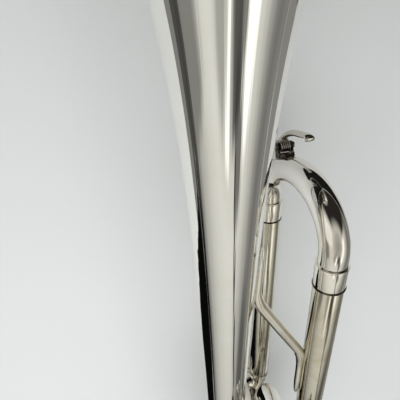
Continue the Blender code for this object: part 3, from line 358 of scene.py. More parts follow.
water_key_silver = silver_plate("water_key_silver", 0.12, 0.35, (300, 900, 900),
                                (0.74, 0.72, 0.65), (0.62, 0.59, 0.52), (0.32, 0.24, 0.16))
oxide_and_painted_shade_silver = dark_silver("oxide_and_painted_shade_silver")
piston_metal = lapped_metal("piston_metal")
wire_steel = spring_steel("wire_steel")
pearl = mother_of_pearl("pearl")
felt = black_felt("felt")
cork = cork_pad("cork")
guide_nylon = nylon("guide_nylon")


# Mesh building

class Skin:
    """Points and faces of one piece."""

    def __init__(self):
        self.points, self.faces = [], []

    def ring(self, points):
        start = len(self.points)
        self.points.extend(Vector(p) for p in points)
        return list(range(start, len(self.points)))

    def bridge(self, first, second):
        for k in range(max(len(first), len(second))):
            corners = [first[k % len(first)], first[(k + 1) % len(first)],
                       second[(k + 1) % len(second)], second[k % len(second)]]
            face = list(dict.fromkeys(corners))
            if len(face) > 2:
                self.faces.append(face)

    def turn(self, profile, middle, axis=X_AXIS, sides=64, closed=False):
        """Adds a turned shape from (radius, distance along the axis) points."""
        middle = Vector(middle)
        side = axis.orthogonal().normalized()
        across = axis.cross(side)
        rings = []
        for radius, along in profile:
            centre = middle + axis * along
            if radius < 0.001:
                rings.append(self.ring([centre]))
                continue
            angles = [2 * math.pi * k / sides for k in range(sides)]
            rings.append(self.ring([centre + (side * math.cos(a) + across * math.sin(a)) * radius
                                    for a in angles]))
        for first, second in zip(rings, rings[1:]):
            self.bridge(first, second)
        if closed:
            self.bridge(rings[-1], rings[0])
        return self

    def sweep(self, path, widths, sides=32, wall=None, up=Z_AXIS, loop=False):
        """Adds a tube or bar along a path; widths are half sizes, across and along up."""
        path = [Vector(p) for p in path]
        count = len(path)
        if not isinstance(widths, list):
            widths = [widths] * count
        widths = [w if isinstance(w, tuple) else (w, w) for w in widths]
        outer, inner = [], []
        lift = Vector(up)
        for k, point in enumerate(path):
            before = path[k - 1] if k or loop else point
            after = path[(k + 1) % count] if k < count - 1 or loop else point
            ahead = (after - before).normalized()
            lift = (lift - ahead * lift.dot(ahead)).normalized()
            side = ahead.cross(lift)
            angles = [2 * math.pi * j / sides for j in range(sides)]
            across, along = widths[k]
            outer.append(self.ring([point + side * across * math.cos(a) + lift * along * math.sin(a)
                                    for a in angles]))
            if wall:
                inner.append(self.ring([point + side * (across - wall) * math.cos(a)
                                        + lift * (along - wall) * math.sin(a) for a in angles]))
        for first, second in zip(outer, outer[1:]):
            self.bridge(first, second)
        for first, second in zip(inner, inner[1:]):
            self.bridge(second, first)
        if loop:
            self.bridge(outer[-1], outer[0])
        elif wall:
            self.bridge(inner[0], outer[0])
            self.bridge(outer[-1], inner[-1])
        else:
            self.bridge(self.ring([path[0]]), outer[0])
            self.bridge(outer[-1], self.ring([path[-1]]))
        return self


def soften(profile, radius, steps=3):
    """Rounds a profile's corners, so that its edges catch the light."""
    rounded = [profile[0]]
    for before, corner, after in zip(profile, profile[1:], profile[2:]):
        before, corner, after = Vector(before), Vector(corner), Vector(after)
        back, on = before - corner, after - corner
        cut = min(radius, back.length * 0.45, on.length * 0.45)
        entry, leave = corner + back.normalized() * cut, corner + on.normalized() * cut
        for k in range(steps + 1):
            t = k / steps
            rounded.append(tuple(entry * (1 - t) ** 2 + corner * 2 * t * (1 - t) + leave * t * t))
    rounded.append(profile[-1])
    return rounded


def soften_loop(profile, radius, steps=3):
    """The same for a closed profile."""
    longer = [profile[-1]] + profile + [profile[0]]
    return soften(longer, radius, steps)[1:-1]


def bent(corners, bend, steps=10):
    """A path through corners with each inner corner rounded off."""
    corners = [Vector(c) for c in corners]
    path = [corners[0]]
    for before, corner, after in zip(corners, corners[1:], corners[2:]):
        entry = corner + (before - corner).normalized() * bend
        leave = corner + (after - corner).normalized() * bend
        for k in range(steps + 1):
            t = k / steps
            path.append(entry * (1 - t) ** 2 + corner * 2 * t * (1 - t) + leave * t * t)
    path.append(corners[-1])
    return path


def arc(middle, first, second, start, end, steps):
    angles = [start + (end - start) * k / steps for k in range(steps + 1)]
    return [Vector(middle) + first * math.cos(a) + second * math.sin(a) for a in angles]


def flowing(points, steps=6):
    """A smooth curve through points."""
    points = [Vector(p) for p in points]
    ends = [2 * points[0] - points[1]] + points + [2 * points[-1] - points[-2]]
    path = []
    for a, b, c, d in zip(ends, ends[1:], ends[2:], ends[3:]):
        for k in range(steps):
            t = k / steps
            path.append(0.5 * (2 * b + (c - a) * t + (2 * a - 5 * b + 4 * c - d) * t ** 2
                               + (3 * b - a - 3 * c + d) * t ** 3))
    path.append(points[-1])
    return path


def show(obj, body, nodes):
    """Gives a finished piece to the body that carries it."""
    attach(obj, body)
    if nodes:
        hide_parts(*nodes)
    return obj


def piece(name, skin, body, nodes, finish, crease=38):
    mesh = bpy.data.meshes.new(name)
    mesh.from_pydata([place(p) for p in skin.points], [], skin.faces)
    shaper = bmesh.new()
    shaper.from_mesh(mesh)
    bmesh.ops.remove_doubles(shaper, verts=shaper.verts, dist=1e-7)
    bmesh.ops.recalc_face_normals(shaper, faces=shaper.faces)
    shaper.to_mesh(mesh)
    shaper.free()
    mesh.shade_smooth()
    mesh.set_sharp_from_angle(angle=math.radians(crease))
    mesh.materials.append(finish)
    obj = bpy.data.objects.new(name, mesh)
    bpy.context.scene.collection.objects.link(obj)
    return show(obj, body, nodes)


# Geometry Nodes: the horn, and the knurling of the caps

def node_group(name, inputs):
    """A geometry tree with named inputs; returns it, its web and its input sockets."""
    group = bpy.data.node_groups.new(name, "GeometryNodeTree")
    for label, kind in inputs:
        group.interface.new_socket(label, in_out="INPUT", socket_type=kind)
    group.interface.new_socket("Geometry", in_out="OUTPUT", socket_type="NodeSocketGeometry")
    web = Web(group)
    entry = group.nodes.new("NodeGroupInput")
    return group, web, {label: Sock(web, entry.outputs[label]) for label, kind in inputs}


def close_group(web, geometry, finish):
    real = web.add("GeometryNodeRealizeInstances", {}, {0: geometry})
    dressed = web.add("GeometryNodeSetMaterial", {}, {"Geometry": real, "Material": finish})
    web.add("NodeGroupOutput", {}, {0: dressed})


def grown(name, group, values, crease=38):
    """The plain mesh that a geometry tree makes with these values."""
    holder = bpy.data.objects.new(name, bpy.data.meshes.new(name))
    bpy.context.scene.collection.objects.link(holder)
    growth = holder.modifiers.new("growth", "NODES")
    growth.node_group = group
    for item in group.interface.items_tree:
        if item.in_out == "INPUT" and item.name in values:
            growth[item.identifier] = values[item.name]
    evaluated = holder.evaluated_get(bpy.context.evaluated_depsgraph_get())
    mesh = bpy.data.meshes.new_from_object(evaluated)
    holder.modifiers.remove(growth)
    holder.data = mesh
    mesh.shade_smooth()
    mesh.set_sharp_from_angle(angle=math.radians(crease))
    return holder


def horn_tree():
    """A horn whose radius falls with a power of the distance from its rim, both sides of its wall."""
    names = ["Rim", "Flare", "Power", "Length", "Wall"]
    inputs = [(label, "NodeSocketFloat") for label in names] + [("Finish", "NodeSocketMaterial")]
    group, web, value = node_group("horn", inputs)
    stations, sides = 181, 129
    sheet = web.add("GeometryNodeMeshGrid", {}, {"Size X": 1.0, "Size Y": 1.0, "Vertices X": stations,
                                                "Vertices Y": sides})
    x, y, z = web.split(web.add("GeometryNodeInputPosition"))
    share = (x * 2).size()
    behind = value["Length"] * share * share
    inside = x.math("GREATER_THAN", x, 0.0001)
    outer = value["Rim"] * (value["Flare"] / (behind + value["Flare"])) ** value["Power"]
    radius = outer - inside * value["Wall"]
    angle = y * (2 * math.pi)
    spot = web.vector(-1 * behind, radius * angle.math("COSINE", angle), radius * angle.math("SINE", angle))
    shaped = web.add("GeometryNodeSetPosition", {}, {"Geometry": sheet, "Position": spot})
    seamless = web.add("GeometryNodeMergeByDistance", {}, {"Geometry": shaped, "Distance": 0.000001})
    close_group(web, seamless, value["Finish"])
    return group


def knurl_tree():
    """Ridges that stand all round a cap."""
    inputs = [("Count", "NodeSocketInt"), ("Radius", "NodeSocketFloat"), ("Height", "NodeSocketFloat"),
              ("Ridge", "NodeSocketFloat"), ("Finish", "NodeSocketMaterial")]
    group, web, value = node_group("knurl", inputs)
    spots = web.add("GeometryNodeMeshCircle", {}, {"Vertices": value["Count"], "Radius": value["Radius"]})
    ridge = web.add("GeometryNodeMeshCylinder", {}, {"Vertices": 6, "Radius": value["Ridge"],
                                                    "Depth": value["Height"]})
    number = web.add("GeometryNodeInputIndex")
    turn = web.vector(0.0, 0.0, number / value["Count"] * (2 * math.pi))
    sockets = {"Points": spots, "Instance": ridge, "Rotation": turn}
    close_group(web, web.add("GeometryNodeInstanceOnPoints", {}, sockets), value["Finish"])
    return group


horn = horn_tree()
knurl = knurl_tree()


def make_bell():
    values = {"Rim": BELL_RIM * MILLIMETRE, "Flare": BELL_FLARE * MILLIMETRE, "Power": BELL_POWER,
              "Length": BELL_LENGTH * MILLIMETRE, "Wall": BELL_WALL * MILLIMETRE, "Finish": bell_silver}
    bell = grown("bell_horn", horn, values, 60)
    bell.data.transform(Matrix.Translation(MOUTH))
    show(bell, "horn", ["bell"])
    middle = (-RIM_ROLL_BEHIND, 0, 0)
    circle = arc(middle, Y_AXIS * RIM_ROLL, Z_AXIS * RIM_ROLL, 0, 2 * math.pi, 128)[:-1]
    roll = Skin().sweep(circle, RIM_ROLL_RADIUS, 14, up=X_AXIS, loop=True)
    piece("bell_rim_roll", roll, "horn", ["bell_rim_wire"], bell_silver)


def bell_radius(behind):
    return BELL_RIM * (BELL_FLARE / (behind + BELL_FLARE)) ** BELL_POWER


def knurled_band(name, number, bottom, top, radius, nodes):
    values = {"Count": KNURL_COUNT, "Radius": radius * MILLIMETRE, "Height": (top - bottom) * MILLIMETRE,
              "Ridge": KNURL_RIDGE * MILLIMETRE, "Finish": valve_silver}
    band = grown(name, knurl, values, 30)
    band.data.transform(Matrix.Translation(place((VALVE_X[number], VALVE_Y, (bottom + top) / 2))))
    show(band, "horn", nodes)


# Tubes

def ferrule(skin, middle, rear, front, radius, bore, lip=0.32, lip_length=0.95, axis=X_AXIS):
    """A collar with a rounded bead at each end."""
    profile = [(bore, front), (radius + lip, front), (radius + lip, front - lip_length),
               (radius, front - lip_length - 0.15), (radius, rear + lip_length + 0.15),
               (radius + lip, rear + lip_length), (radius + lip, rear), (bore, rear)]
    return skin.turn(soften_loop(profile, 0.3), middle, axis, 72, closed=True)


def sleeve(skin, middle, rear, front, radius, bore, axis=X_AXIS, sides=72):
    profile = [(bore, front), (radius, front), (radius, rear), (bore, rear)]
    return skin.turn(soften_loop(profile, 0.12, 2), middle, axis, sides, closed=True)


def u_bend(top, bottom, outward, leg, ahead, depth=None, steps=48):
    """Leg, half round bow and leg, as one path."""
    top, bottom = Vector(top), Vector(bottom)
    rise = (top - bottom) / 2
    middle = (top + bottom) / 2 + outward * ahead
    bow = arc(middle, rise, outward * (depth or rise.length), 0, math.pi, steps)
    return [top - outward * leg] + bow + [bottom - outward * leg]


def make_bell_bow():
    top, bottom = Vector((-412.5, 0, 0)), Vector((-412.5, VALVE_Y, LOWER_Z))
    path = u_bend(top, bottom, -X_AXIS, -4.2, 0)
    path = [Vector((-408.3, 0, 0))] + path[1:-1] + [Vector((-395.8, VALVE_Y, LOWER_Z))]
    wide = bell_radius(BELL_LENGTH)
    radii = [wide + (6.3 - wide) * k / (len(path) - 1) for k in range(len(path))]
    piece("bell_bow_tube", Skin().sweep(path, radii, 56, 0.6), "horn", ["bell_bow"], tube_silver)
    collar = ferrule(Skin(), (0, 0, 0), -412, -404, wide + 0.95, wide + 0.3)
    ferrule(collar, (0, VALVE_Y, LOWER_Z), -404, -399, 7.0, 6.45, 0.2, 0.7)
    piece("bell_bow_collar", collar, "horn", ["bell_ferrule"], fitting_silver)


def make_leadpipe():
    pipe = (0, PIPE_Y, PIPE_Z)
    profile = [(4.7, -465.1), (5.2, -293.1), (5.8, -293.1), (5.3, -465.1)]
    piece("leadpipe_tube", Skin().turn(soften_loop(profile, 0.1, 2), pipe, sides=72, closed=True), "horn",
          ["leadpipe"], tube_silver)
    profile = [(5.8, -454.1), (6.5, -454.1), (6.7, -456.2), (6.6, -458), (6.6, -484.5), (6.9, -485.3),
               (7.0, -486), (7.8, -486.6), (7.8, -488), (7.4, -488.5), (7.8, -489), (7.8, -492.6), (7.3, -494.1),
               (5.4, -494.1), (4.6, -471.1), (4.6, -465.4), (5.8, -465.4)]
    piece("receiver_collar", Skin().turn(soften_loop(profile, 0.35), pipe, sides=72, closed=True), "horn",
          ["mouthpiece_receiver"], fitting_silver)
    upper = sleeve(Skin(), pipe, UPPER_SLEEVE_REAR, SLEEVE_FRONT, MAIN_SLEEVE, SLEEVE_BORE)
    ferrule(upper, pipe, UPPER_SLEEVE_REAR - 0.4, UPPER_SLEEVE_REAR + 5, MAIN_SLEEVE + 0.25, 5.9, 0.15, 0.6)
    piece("upper_sleeve_tube", upper, "horn", ["upper_slide_sleeve"], sleeve_silver)
    foot = (0, LOWER_Y, LOWER_Z)
    lower = sleeve(Skin(), foot, LOWER_SLEEVE_REAR, SLEEVE_FRONT, MAIN_SLEEVE, SLEEVE_BORE)
    ferrule(lower, foot, LOWER_SLEEVE_REAR - 0.2, LOWER_SLEEVE_REAR + 2.2, MAIN_SLEEVE + 0.2, 6.2, 0.1, 0.5)
    piece("lower_sleeve_tube", lower, "horn", ["lower_slide_sleeve"], sleeve_silver)


def make_mouthpiece():
    rear = -559.1
    outer = flowing([(4.3, -472.1, 0), (5.0, -494.4, 0), (5.0, -520.0, 0), (5.2, -527.5, 0), (6.6, -532.8, 0),
                     (9.3, -538.5, 0), (11.0, -545.0, 0), (11.7, -551.0, 0), (12.2, -553.2, 0)], 5)
    profile = [(p.x, p.y) for p in outer]
    profile += soften([(12.2, -553.2), (13.5, rear + 4.6), (13.5, rear + 2.1), (12.4, rear + 0.4),
                       (10.9, rear), (9.4, rear + 0.4), (8.35, rear + 1.3)], 0.8)[1:]
    for k in range(1, 11):
        share = math.sqrt(1 - (k / 10) ** 2) if k < 10 else 0
        profile.append((max(8.35 * share, 1.85), rear + 1.3 + 10.9 * k / 10))
    profile += [(1.85, rear + 18), (3.4, -472.1)]
    cup = Skin().turn(profile, (0, PIPE_Y, PIPE_Z), sides=80, closed=True)
    piece("mouthpiece_cup", cup, "mouthpiece_body", ["mouthpiece"], fitting_silver)


# Main tuning slide and its water key

UPPER_LEG = Vector((BOW_X, PIPE_Y, PIPE_Z))
LOWER_LEG = Vector((BOW_X, LOWER_Y, LOWER_Z))
BOW_MIDDLE = (UPPER_LEG + LOWER_LEG) / 2
BOW_UP = (UPPER_LEG - LOWER_LEG).normalized()
BOW_HALF = (UPPER_LEG - LOWER_LEG).length / 2
BOW_SIDE = X_AXIS.cross(BOW_UP)


def bow_normal(degrees):
    a = math.radians(degrees)
    return (BOW_UP * math.cos(a) / BOW_HALF + X_AXIS * math.sin(a) / BOW_DEPTH).normalized()


def on_bow(degrees, height, aside=0.0):
    """A point above the bow's outer side; 0 degrees is at its upper leg, 180 at its lower."""
    a = math.radians(degrees)
    centre = BOW_MIDDLE + BOW_UP * math.cos(a) * BOW_HALF + X_AXIS * math.sin(a) * BOW_DEPTH
    return centre + bow_normal(degrees) * (BOW + height) + BOW_SIDE * aside


def make_tuning_slide():
    path = u_bend(UPPER_LEG, LOWER_LEG, X_AXIS, BOW_LEGS_BACK, 0, BOW_DEPTH + BOW_SWELL / 2, 72)
    back = X_AXIS * 3.4
    head = [path[0], path[1] - back * 3, path[1] - back]
    tail = [path[-2] - back, path[-2] - back * 3, path[-1]]
    path = head + path[1:-1] + tail
    radii = [LEG, LEG] + [BOW + BOW_SWELL] * (len(path) - 4) + [LEG, LEG]
    crook = Skin().sweep(path, radii, 72, 0.5, up=BOW_UP)
    piece("tuning_slide_tube", crook, "tuning_slide", ["tuning_slide_crook"], slide_silver)
    for label, y, z in (("upper", PIPE_Y, PIPE_Z), ("lower", LOWER_Y, LOWER_Z)):
        profile = [(FERRULE_BORE, FERRULE_FRONT), (FERRULE + 0.16, FERRULE_FRONT),
                   (FERRULE + 0.16, FERRULE_FRONT - 0.5), (FERRULE - 0.12, FERRULE_FRONT - 0.62),
                   (FERRULE - 0.12, FERRULE_FRONT - 0.8), (FERRULE, FERRULE_FRONT - 0.95),
                   (FERRULE, FERRULE_REAR + 0.8), (FERRULE_BORE, FERRULE_REAR + 0.8)]
        collar = Skin().turn(soften_loop(profile, 0.12), (0, y, z), sides=72, closed=True)
        piece(f"{label}_ferrule_collar", collar, "tuning_slide", [f"slide_ferrule_{label}"], ferrule_silver)
        # The near-black ring at each ferrule's rear is painted shade: its dark silver stands in for the dark
        # line that the light leaves along the rim.
        profile = [(FERRULE_BORE, FERRULE_REAR), (FERRULE + 0.25, FERRULE_REAR),
                   (FERRULE + 0.34, FERRULE_REAR + 0.45), (FERRULE + 0.25, FERRULE_REAR + 0.9),
                   (FERRULE_BORE, FERRULE_REAR + 0.9)]
        bead = Skin().turn(soften_loop(profile, 0.25), (0, y, z), sides=72, closed=True)
        piece(f"{label}_ferrule_painted_shade_ring", bead, "tuning_slide", [], oxide_and_painted_shade_silver)


def plate(skin, middle, along, across, out, size):
    """A block with rounded corners, lying along three directions."""
    half_length, half_width, half_height = size
    outline = soften_loop([(-half_length, -half_width), (half_length, -half_width), (half_length, half_width),
                           (-half_length, half_width)], min(half_length, half_width) * 0.45, 4)
    rings = []
    for level, shrink in ((-1, 0.94), (-0.8, 1.0), (0.75, 1.0), (1, 0.9)):
        centre = middle + out * (half_height * level)
        rings.append(skin.ring([centre + along * (x * shrink) + across * (y * shrink) for x, y in outline]))
    for first, second in zip(rings, rings[1:]):
        skin.bridge(first, second)
    skin.bridge(skin.ring([middle - out * half_height]), rings[0])
    skin.bridge(rings[-1], skin.ring([middle + out * half_height]))
    return skin


KEY_AT = 118
KEY_PIVOT = 5.5
KEY_NIPPLE = 150
KEY_ASIDE = 1.0


def make_water_key():
    """Saddle, screw and spring stay on the bow; the barrel, lever and cork turn on the screw."""
    out = bow_normal(KEY_AT)
    along = BOW_SIDE.cross(out)
    pivot = on_bow(KEY_AT, KEY_PIVOT)
    saddle = plate(Skin(), on_bow(KEY_AT, 0.9), along, BOW_SIDE, out, (3.7, 3.9, 1.3))
    for aside in (-3.65, 3.65):
        plate(saddle, on_bow(KEY_AT, 2.7, aside), along, BOW_SIDE, out, (1.8, 0.45, 2.5))
        profile = soften([(0, -0.5), (1.9, -0.5), (2.15, -0.2), (2.15, 0.3), (1.8, 0.55), (0, 0.55)], 0.25)
        saddle.turn(profile, on_bow(KEY_AT, KEY_PIVOT, aside), BOW_SIDE, 32)
    piece("key_saddle", saddle, "tuning_slide", ["water_key_saddle"], oxide_and_painted_shade_silver)
    profile = [(0, -4.7), (0.8, -4.7), (0.8, 4.45), (1.7, 4.45), (1.7, 5.1), (1.2, 5.45), (0.55, 5.45),
               (0.5, 5.05), (0, 5.05)]
    screw = Skin().turn(soften(profile, 0.2), pivot, BOW_SIDE, 28)
    piece("key_screw", screw, "tuning_slide", ["water_key_screw"], wire_steel)
    make_key_spring(pivot, out, along)
    nipple = bow_normal(KEY_NIPPLE)
    profile = [(1.4, -0.4), (3.1, -0.4), (2.8, 0.5), (2.5, 2.1), (2.2, 2.4), (1.4, 2.4)]
    foot = Skin().turn(soften_loop(profile, 0.15), on_bow(KEY_NIPPLE, 0), nipple, 32, closed=True)
    piece("key_nipple", foot, "tuning_slide", ["water_key_nipple"], oxide_and_painted_shade_silver)
    profile = [(0, 2.8), (2.8, 2.8), (2.8, 4.1), (0, 4.1)]
    pad = Skin().turn(soften(profile, 0.3), on_bow(KEY_NIPPLE, 0), nipple, 32)
    piece("key_cork", pad, "water_key", ["water_key_cork"], cork)
    make_key_barrel(pivot)
    make_key_lever(nipple)


def make_key_spring(pivot, out, along):
    """Coils wound round the barrel beside the lever, with an arm at each end."""
    start, pitch, turns, radius, wire = -2.6, 1.04, 5.0, 2.75, 0.36
    curl = []
    for k in range(int(turns * 28) + 1):
        a = 2 * math.pi * k / 28
        curl.append(pivot + out * radius * math.cos(a) + along * radius * math.sin(a)
                    + BOW_SIDE * (start + pitch * k / 28))
    run = [curl[0] - along * 3.8] + curl + [curl[-1] - along * 3.8]
    spring = Skin().sweep(run, wire, 12, up=BOW_SIDE)
    piece("key_spring", spring, "tuning_slide", ["water_key_spring"], wire_steel)


def make_key_barrel(pivot):
    profile = [(1.0, -2.95), (2.25, -2.95), (2.25, 2.95), (1.0, 2.95)]
    barrel = Skin().turn(soften_loop(profile, 0.25), pivot, BOW_SIDE, 40, closed=True)
    piece("key_barrel", barrel, "water_key", [], oxide_and_painted_shade_silver)


def make_key_lever(nipple):
    """A strip from the cork's cup, over the barrel, to a finger plate with a curled tip."""
    heights = [(152, 5.0), (146, 5.3), (138, 6.3), (130, 7.5), (124, 8.5), (118, 9.8), (112, 10.9), (106, 11.5),
               (100, 11.7), (94, 12.0), (90.5, 12.4), (88.6, 12.1), (88.4, 11.3), (89.6, 10.8)]
    path = flowing([on_bow(a, h, KEY_ASIDE) for a, h in heights], 8)
    last = len(path) - 1
    widths = []
    for k in range(last + 1):
        t = k / last
        broad = 1.75 - 0.35 * math.sin(min(1, t / 0.35) * math.pi) + 0.9 * max(0, (t - 0.45) / 0.55)
        deep = 0.75 + 0.75 * math.sin(min(1, max(0, (t - 0.2) / 0.7)) * math.pi)
        widths.append((broad - 1.1 * max(0, (t - 0.9) / 0.1) ** 2, deep))
    lever = Skin().sweep(path, widths, 28, up=bow_normal(152))
    profile = soften([(0, 4.3), (3.0, 4.3), (3.1, 4.7), (1.8, 5.6), (0, 5.7)], 0.3)
    lever.turn(profile, on_bow(KEY_NIPPLE, 0), nipple, 32)
    piece("key_lever", lever, "water_key", ["water_key_lever"], water_key_silver)


# Valves

def knuckle_run(number, side_y, z, ahead, reach):
    """Path of a bent knuckle from inside its casing to its outer end."""
    step = VALVE_Y - side_y
    straight, bend = 10.5, 14.0
    slant = math.atan2(bend, straight) + math.asin((step - bend) / math.hypot(bend, straight))
    path = [(along * math.cos(slant), along * math.sin(slant)) for along in (6.0, straight)]
    if slant > 0.01:
        for k in range(1, 11):
            a = slant * (1 - k / 10)
            path.append((straight * math.cos(slant) + bend * (math.sin(slant) - math.sin(a)),
                         straight * math.sin(slant) + bend * (math.cos(a) - math.cos(slant))))
    path.append((reach, step))
    return [Vector((VALVE_X[number] + ahead * x, VALVE_Y - y, z)) for x, y in path]


def on_valve(number, profile, edge, sides, closed=False):
    """A shape turned on a valve's axis, with softened edges."""
    rounded = soften_loop(profile, edge) if closed else soften(profile, edge)
    return Skin().turn(rounded, (VALVE_X[number], VALVE_Y, 0), Z_AXIS, sides, closed)


def make_casing(number):
    profile = [(CASING_BORE, CASING_FOOT), (CASING, CASING_FOOT), (CASING, -66.6), (10.8, -66.4), (10.8, -64.2),
               (CASING, -63.9), (CASING, 21.4), (10.8, 21.7), (10.8, 25.4), (CASING, 25.7), (CASING, CASING_TOP),
               (CASING_BORE, CASING_TOP)]
    casing = on_valve(number, profile, 0.3, 80, closed=True)
    if number == 1:
        runs = [(VALVE_Y, LOWER_Z, -1, 18.5), (-35, -14, -1, 18.5), (-35, -40, -1, 18.5)]
    elif number == 3:
        runs = [(LOWER_Y, LOWER_Z, 1, 20.5), (-31, 2, 1, 18.5), (-31, -26, 1, 18.5)]
    else:
        runs = []
        for z in (-12, -38):
            casing.sweep([(VALVE_X[2], VALVE_Y - 6, z), (VALVE_X[2], VALVE_Y - 14, z)], KNUCKLE, 48, 0.7)
        for ahead in (-1, 1):
            link = [(VALVE_X[2] + ahead * reach, VALVE_Y, -43.5) for reach in (6, 12.7)]
            casing.sweep(link, 5.5, 40, 0.7)
    for side_y, z, ahead, reach in runs:
        casing.sweep(knuckle_run(number, side_y, z, ahead, reach), KNUCKLE, 48, 0.7)
    piece(f"casing_tube_{number}", casing, "horn", [f"valve_casing_{number}"], valve_silver)


def make_caps(number):
    profile = [(0, -79.5), (10.3, -79.5), (10.3, -67), (11.1, -67), (11.45, -67.3), (11.45, -67.8), (11.05, -68),
               (11.05, -72.6), (11.45, -72.8), (11.45, -73.3), (10.8, -73.9), (10.75, -79.4), (9.9, -80.9),
               (9.5, -81), (2.4, -81), (2.1, -80.5), (0, -80.4)]
    cap = on_valve(number, profile, 0.25, 80)
    piece(f"bottom_cap_cup_{number}", cap, "horn", [f"bottom_cap_{number}"], valve_silver)
    knurled_band(f"bottom_cap_knurl_{number}", number, -72.5, -68.1, 11.1, [])
    profile = [(3.6, 35.3), (10.3, 35.3), (10.3, 26), (11.2, 26), (11.45, 26.3), (11.45, 27), (11.05, 27.2),
               (11.05, 33.0), (11.45, 33.2), (11.45, 36.2), (10.6, 37.4), (8.6, 38.2), (5.6, 38.5),
               (5.2, 39), (3.6, 39)]
    cap = on_valve(number, profile, 0.3, 80, closed=True)
    piece(f"top_cap_cup_{number}", cap, "horn", [f"top_cap_{number}"], valve_silver)
    knurled_band(f"top_cap_knurl_{number}", number, 27.3, 32.9, 11.1, [])


def make_button(number):
    body = f"valve_{number}"
    profile = [(0, 57.5), (2.4, 57.5), (2.4, 33.8), (8.0, 33.8), (8.0, 31.3), (0, 31.3)]
    stem = on_valve(number, profile, 0.3, 48)
    piece(f"stem_rod_{number}", stem, body, [f"valve_stem_{number}"], valve_silver)
    profile = [(2.7, 55.3), (6.3, 55.3), (6.5, 55.7), (6.5, 57.2), (6.3, 57.5), (2.7, 57.5)]
    washer = on_valve(number, profile, 0.3, 56, closed=True)
    piece(f"felt_washer_{number}", washer, body, [f"button_felt_{number}"], felt)
    profile = [(0, 60.3), (7.3, 60.3), (7.3, 61.6), (7.9, 61.85), (8.5, 61.5), (8.7, 60.8), (8.4, 59.6),
               (7.2, 58.6), (6.5, 57.8), (0, 57.8)]
    button = on_valve(number, profile, 0.25, 72)
    piece(f"button_cup_{number}", button, body, [f"finger_button_{number}"], valve_silver)
    profile = [(0, 62.0), (3.5, 61.95), (5.6, 61.75), (6.9, 61.3), (7.0, 61.0), (7.0, 60.6), (0, 60.6)]
    disc = on_valve(number, profile, 0.3, 64)
    piece(f"pearl_disc_{number}", disc, body, [f"button_pearl_{number}"], pearl)


def make_inside(number):
    """The hidden works keep their solids and get their own finish."""
    for node, finish in ((f"piston_{number}", piston_metal), (f"valve_guide_{number}", guide_nylon)):
        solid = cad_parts[node]
        solid.data.materials.clear()
        solid.data.materials.append(finish)
    points = []
    radius, foot, rise, turns, steps = 4.7, 11.65, 18.9, 4, 24
    for k in range(turns * steps + 1):
        a = 2 * math.pi * k / steps
        points.append((VALVE_X[number] + radius * math.cos(a), VALVE_Y + radius * math.sin(a),
                       foot + rise * k / (turns * steps)))
    coil = Skin().sweep(points, 0.45, 10, up=Z_AXIS)
    spring = piece(f"spring_coil_{number}", coil, "horn", [f"valve_spring_{number}"], wire_steel)
    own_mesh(spring)


# Valve slides

def slide_sleeves(name, tops, outward, length, body, nodes):
    pair = Skin()
    top, bottom = (Vector(p) for p in tops)
    for start in (top, bottom):
        sleeve(pair, start, 0, length, SLEEVE, SLEEVE_BORE, outward)
        ferrule(pair, start, length - 2.6, length, SLEEVE + 0.22, SLEEVE_BORE + 0.01, 0.12, 0.6, outward)
    middle = (top + bottom) / 2 + outward * length / 2
    rise = (top - bottom).normalized()
    reach = (top - bottom).length / 2 - SLEEVE + 0.3
    profile = [(0, -reach), (2.9, -reach), (2.7, -reach + 0.9), (1.6, -reach + 2.0), (1.45, 0)]
    profile += [(r, -h) for r, h in reversed(profile[:-1])]
    pair.turn(soften(profile, 0.5), middle, rise, 32)
    piece(name, pair, body, nodes, valve_silver)


def slide_crook(name, tops, outward, leg, body, nodes, knob=False):
    top, bottom = (Vector(p) for p in tops)
    path = u_bend(top, bottom, outward, leg, 1.0)
    crook = Skin().sweep(path, LEG, 56, 0.5, up=(top - bottom).normalized())
    for start in (top, bottom):
        ferrule(crook, start, 0.35, 2.3, LEG + 0.5, LEG - 0.1, 0.12, 0.5, outward)
    if knob:
        rim = (top + bottom) / 2 + outward * (1.0 + (top - bottom).length / 2 + LEG)
        profile = [(0, -0.8), (1.5, -0.8), (1.3, 1.0), (2.4, 2.0), (2.9, 3.0), (2.4, 4.0), (0, 4.4)]
        crook.turn(soften(profile, 0.5), rim, outward, 40)
    piece(name, crook, body, nodes, slide_silver)


VALVE_SLIDES = [("first", [(-395.8, -35, -14), (-395.8, -35, -40)], -X_AXIS, 20, 18.5, False),
                ("second", [(VALVE_X[2], -41.3, -12), (VALVE_X[2], -41.3, -38)], -Y_AXIS, 10, 8.5, True),
                ("third", [(-312.2, -31, 2), (-312.2, -31, -26)], X_AXIS, 16, 14.5, False)]


def make_valve_slides():
    for name, ends, outward, length, leg, knob in VALVE_SLIDES:
        slide_sleeves(f"{name}_sleeve_pair", ends, outward, length, "horn", [f"{name}_slide_sleeves"])
        mouths = [Vector(p) + outward * length for p in ends]
        slide_crook(f"{name}_slide_tube", mouths, outward, leg, f"{name}_slide", [f"{name}_slide_crook"], knob)
    make_thumb_saddle()
    make_finger_ring()


def make_thumb_saddle():
    lean = Vector((0, math.sin(math.radians(40)), math.cos(math.radians(40))))
    across = Vector((0, lean.z, -lean.y))
    seat = Vector((-419.8, -35, -14))
    middle = seat + lean * (LEG + 0.3 + 1.5 + 7.5)
    reach = math.radians(95)
    loop = arc(middle, -lean * 7.5, across * 7.5, -reach, reach, 40)
    widths = []
    for k in range(len(loop)):
        t = abs(2 * k / (len(loop) - 1) - 1)
        tip = max(0, (t - 0.9) / 0.1) ** 2
        widths.append((2.6 - 1.0 * t ** 2 - 1.1 * tip, 1.15 - 0.6 * tip))
    saddle = Skin().sweep(loop, widths, 24, up=-lean.cross(across).cross(across))
    profile = [(0, LEG - 0.2), (2.8, LEG - 0.2), (2.4, LEG + 0.8), (1.9, LEG + 1.6), (0, LEG + 1.7)]
    saddle.turn(soften(profile, 0.3), seat, lean, 32)
    piece("thumb_saddle", saddle, "first_slide", ["first_slide_saddle"], fitting_silver)


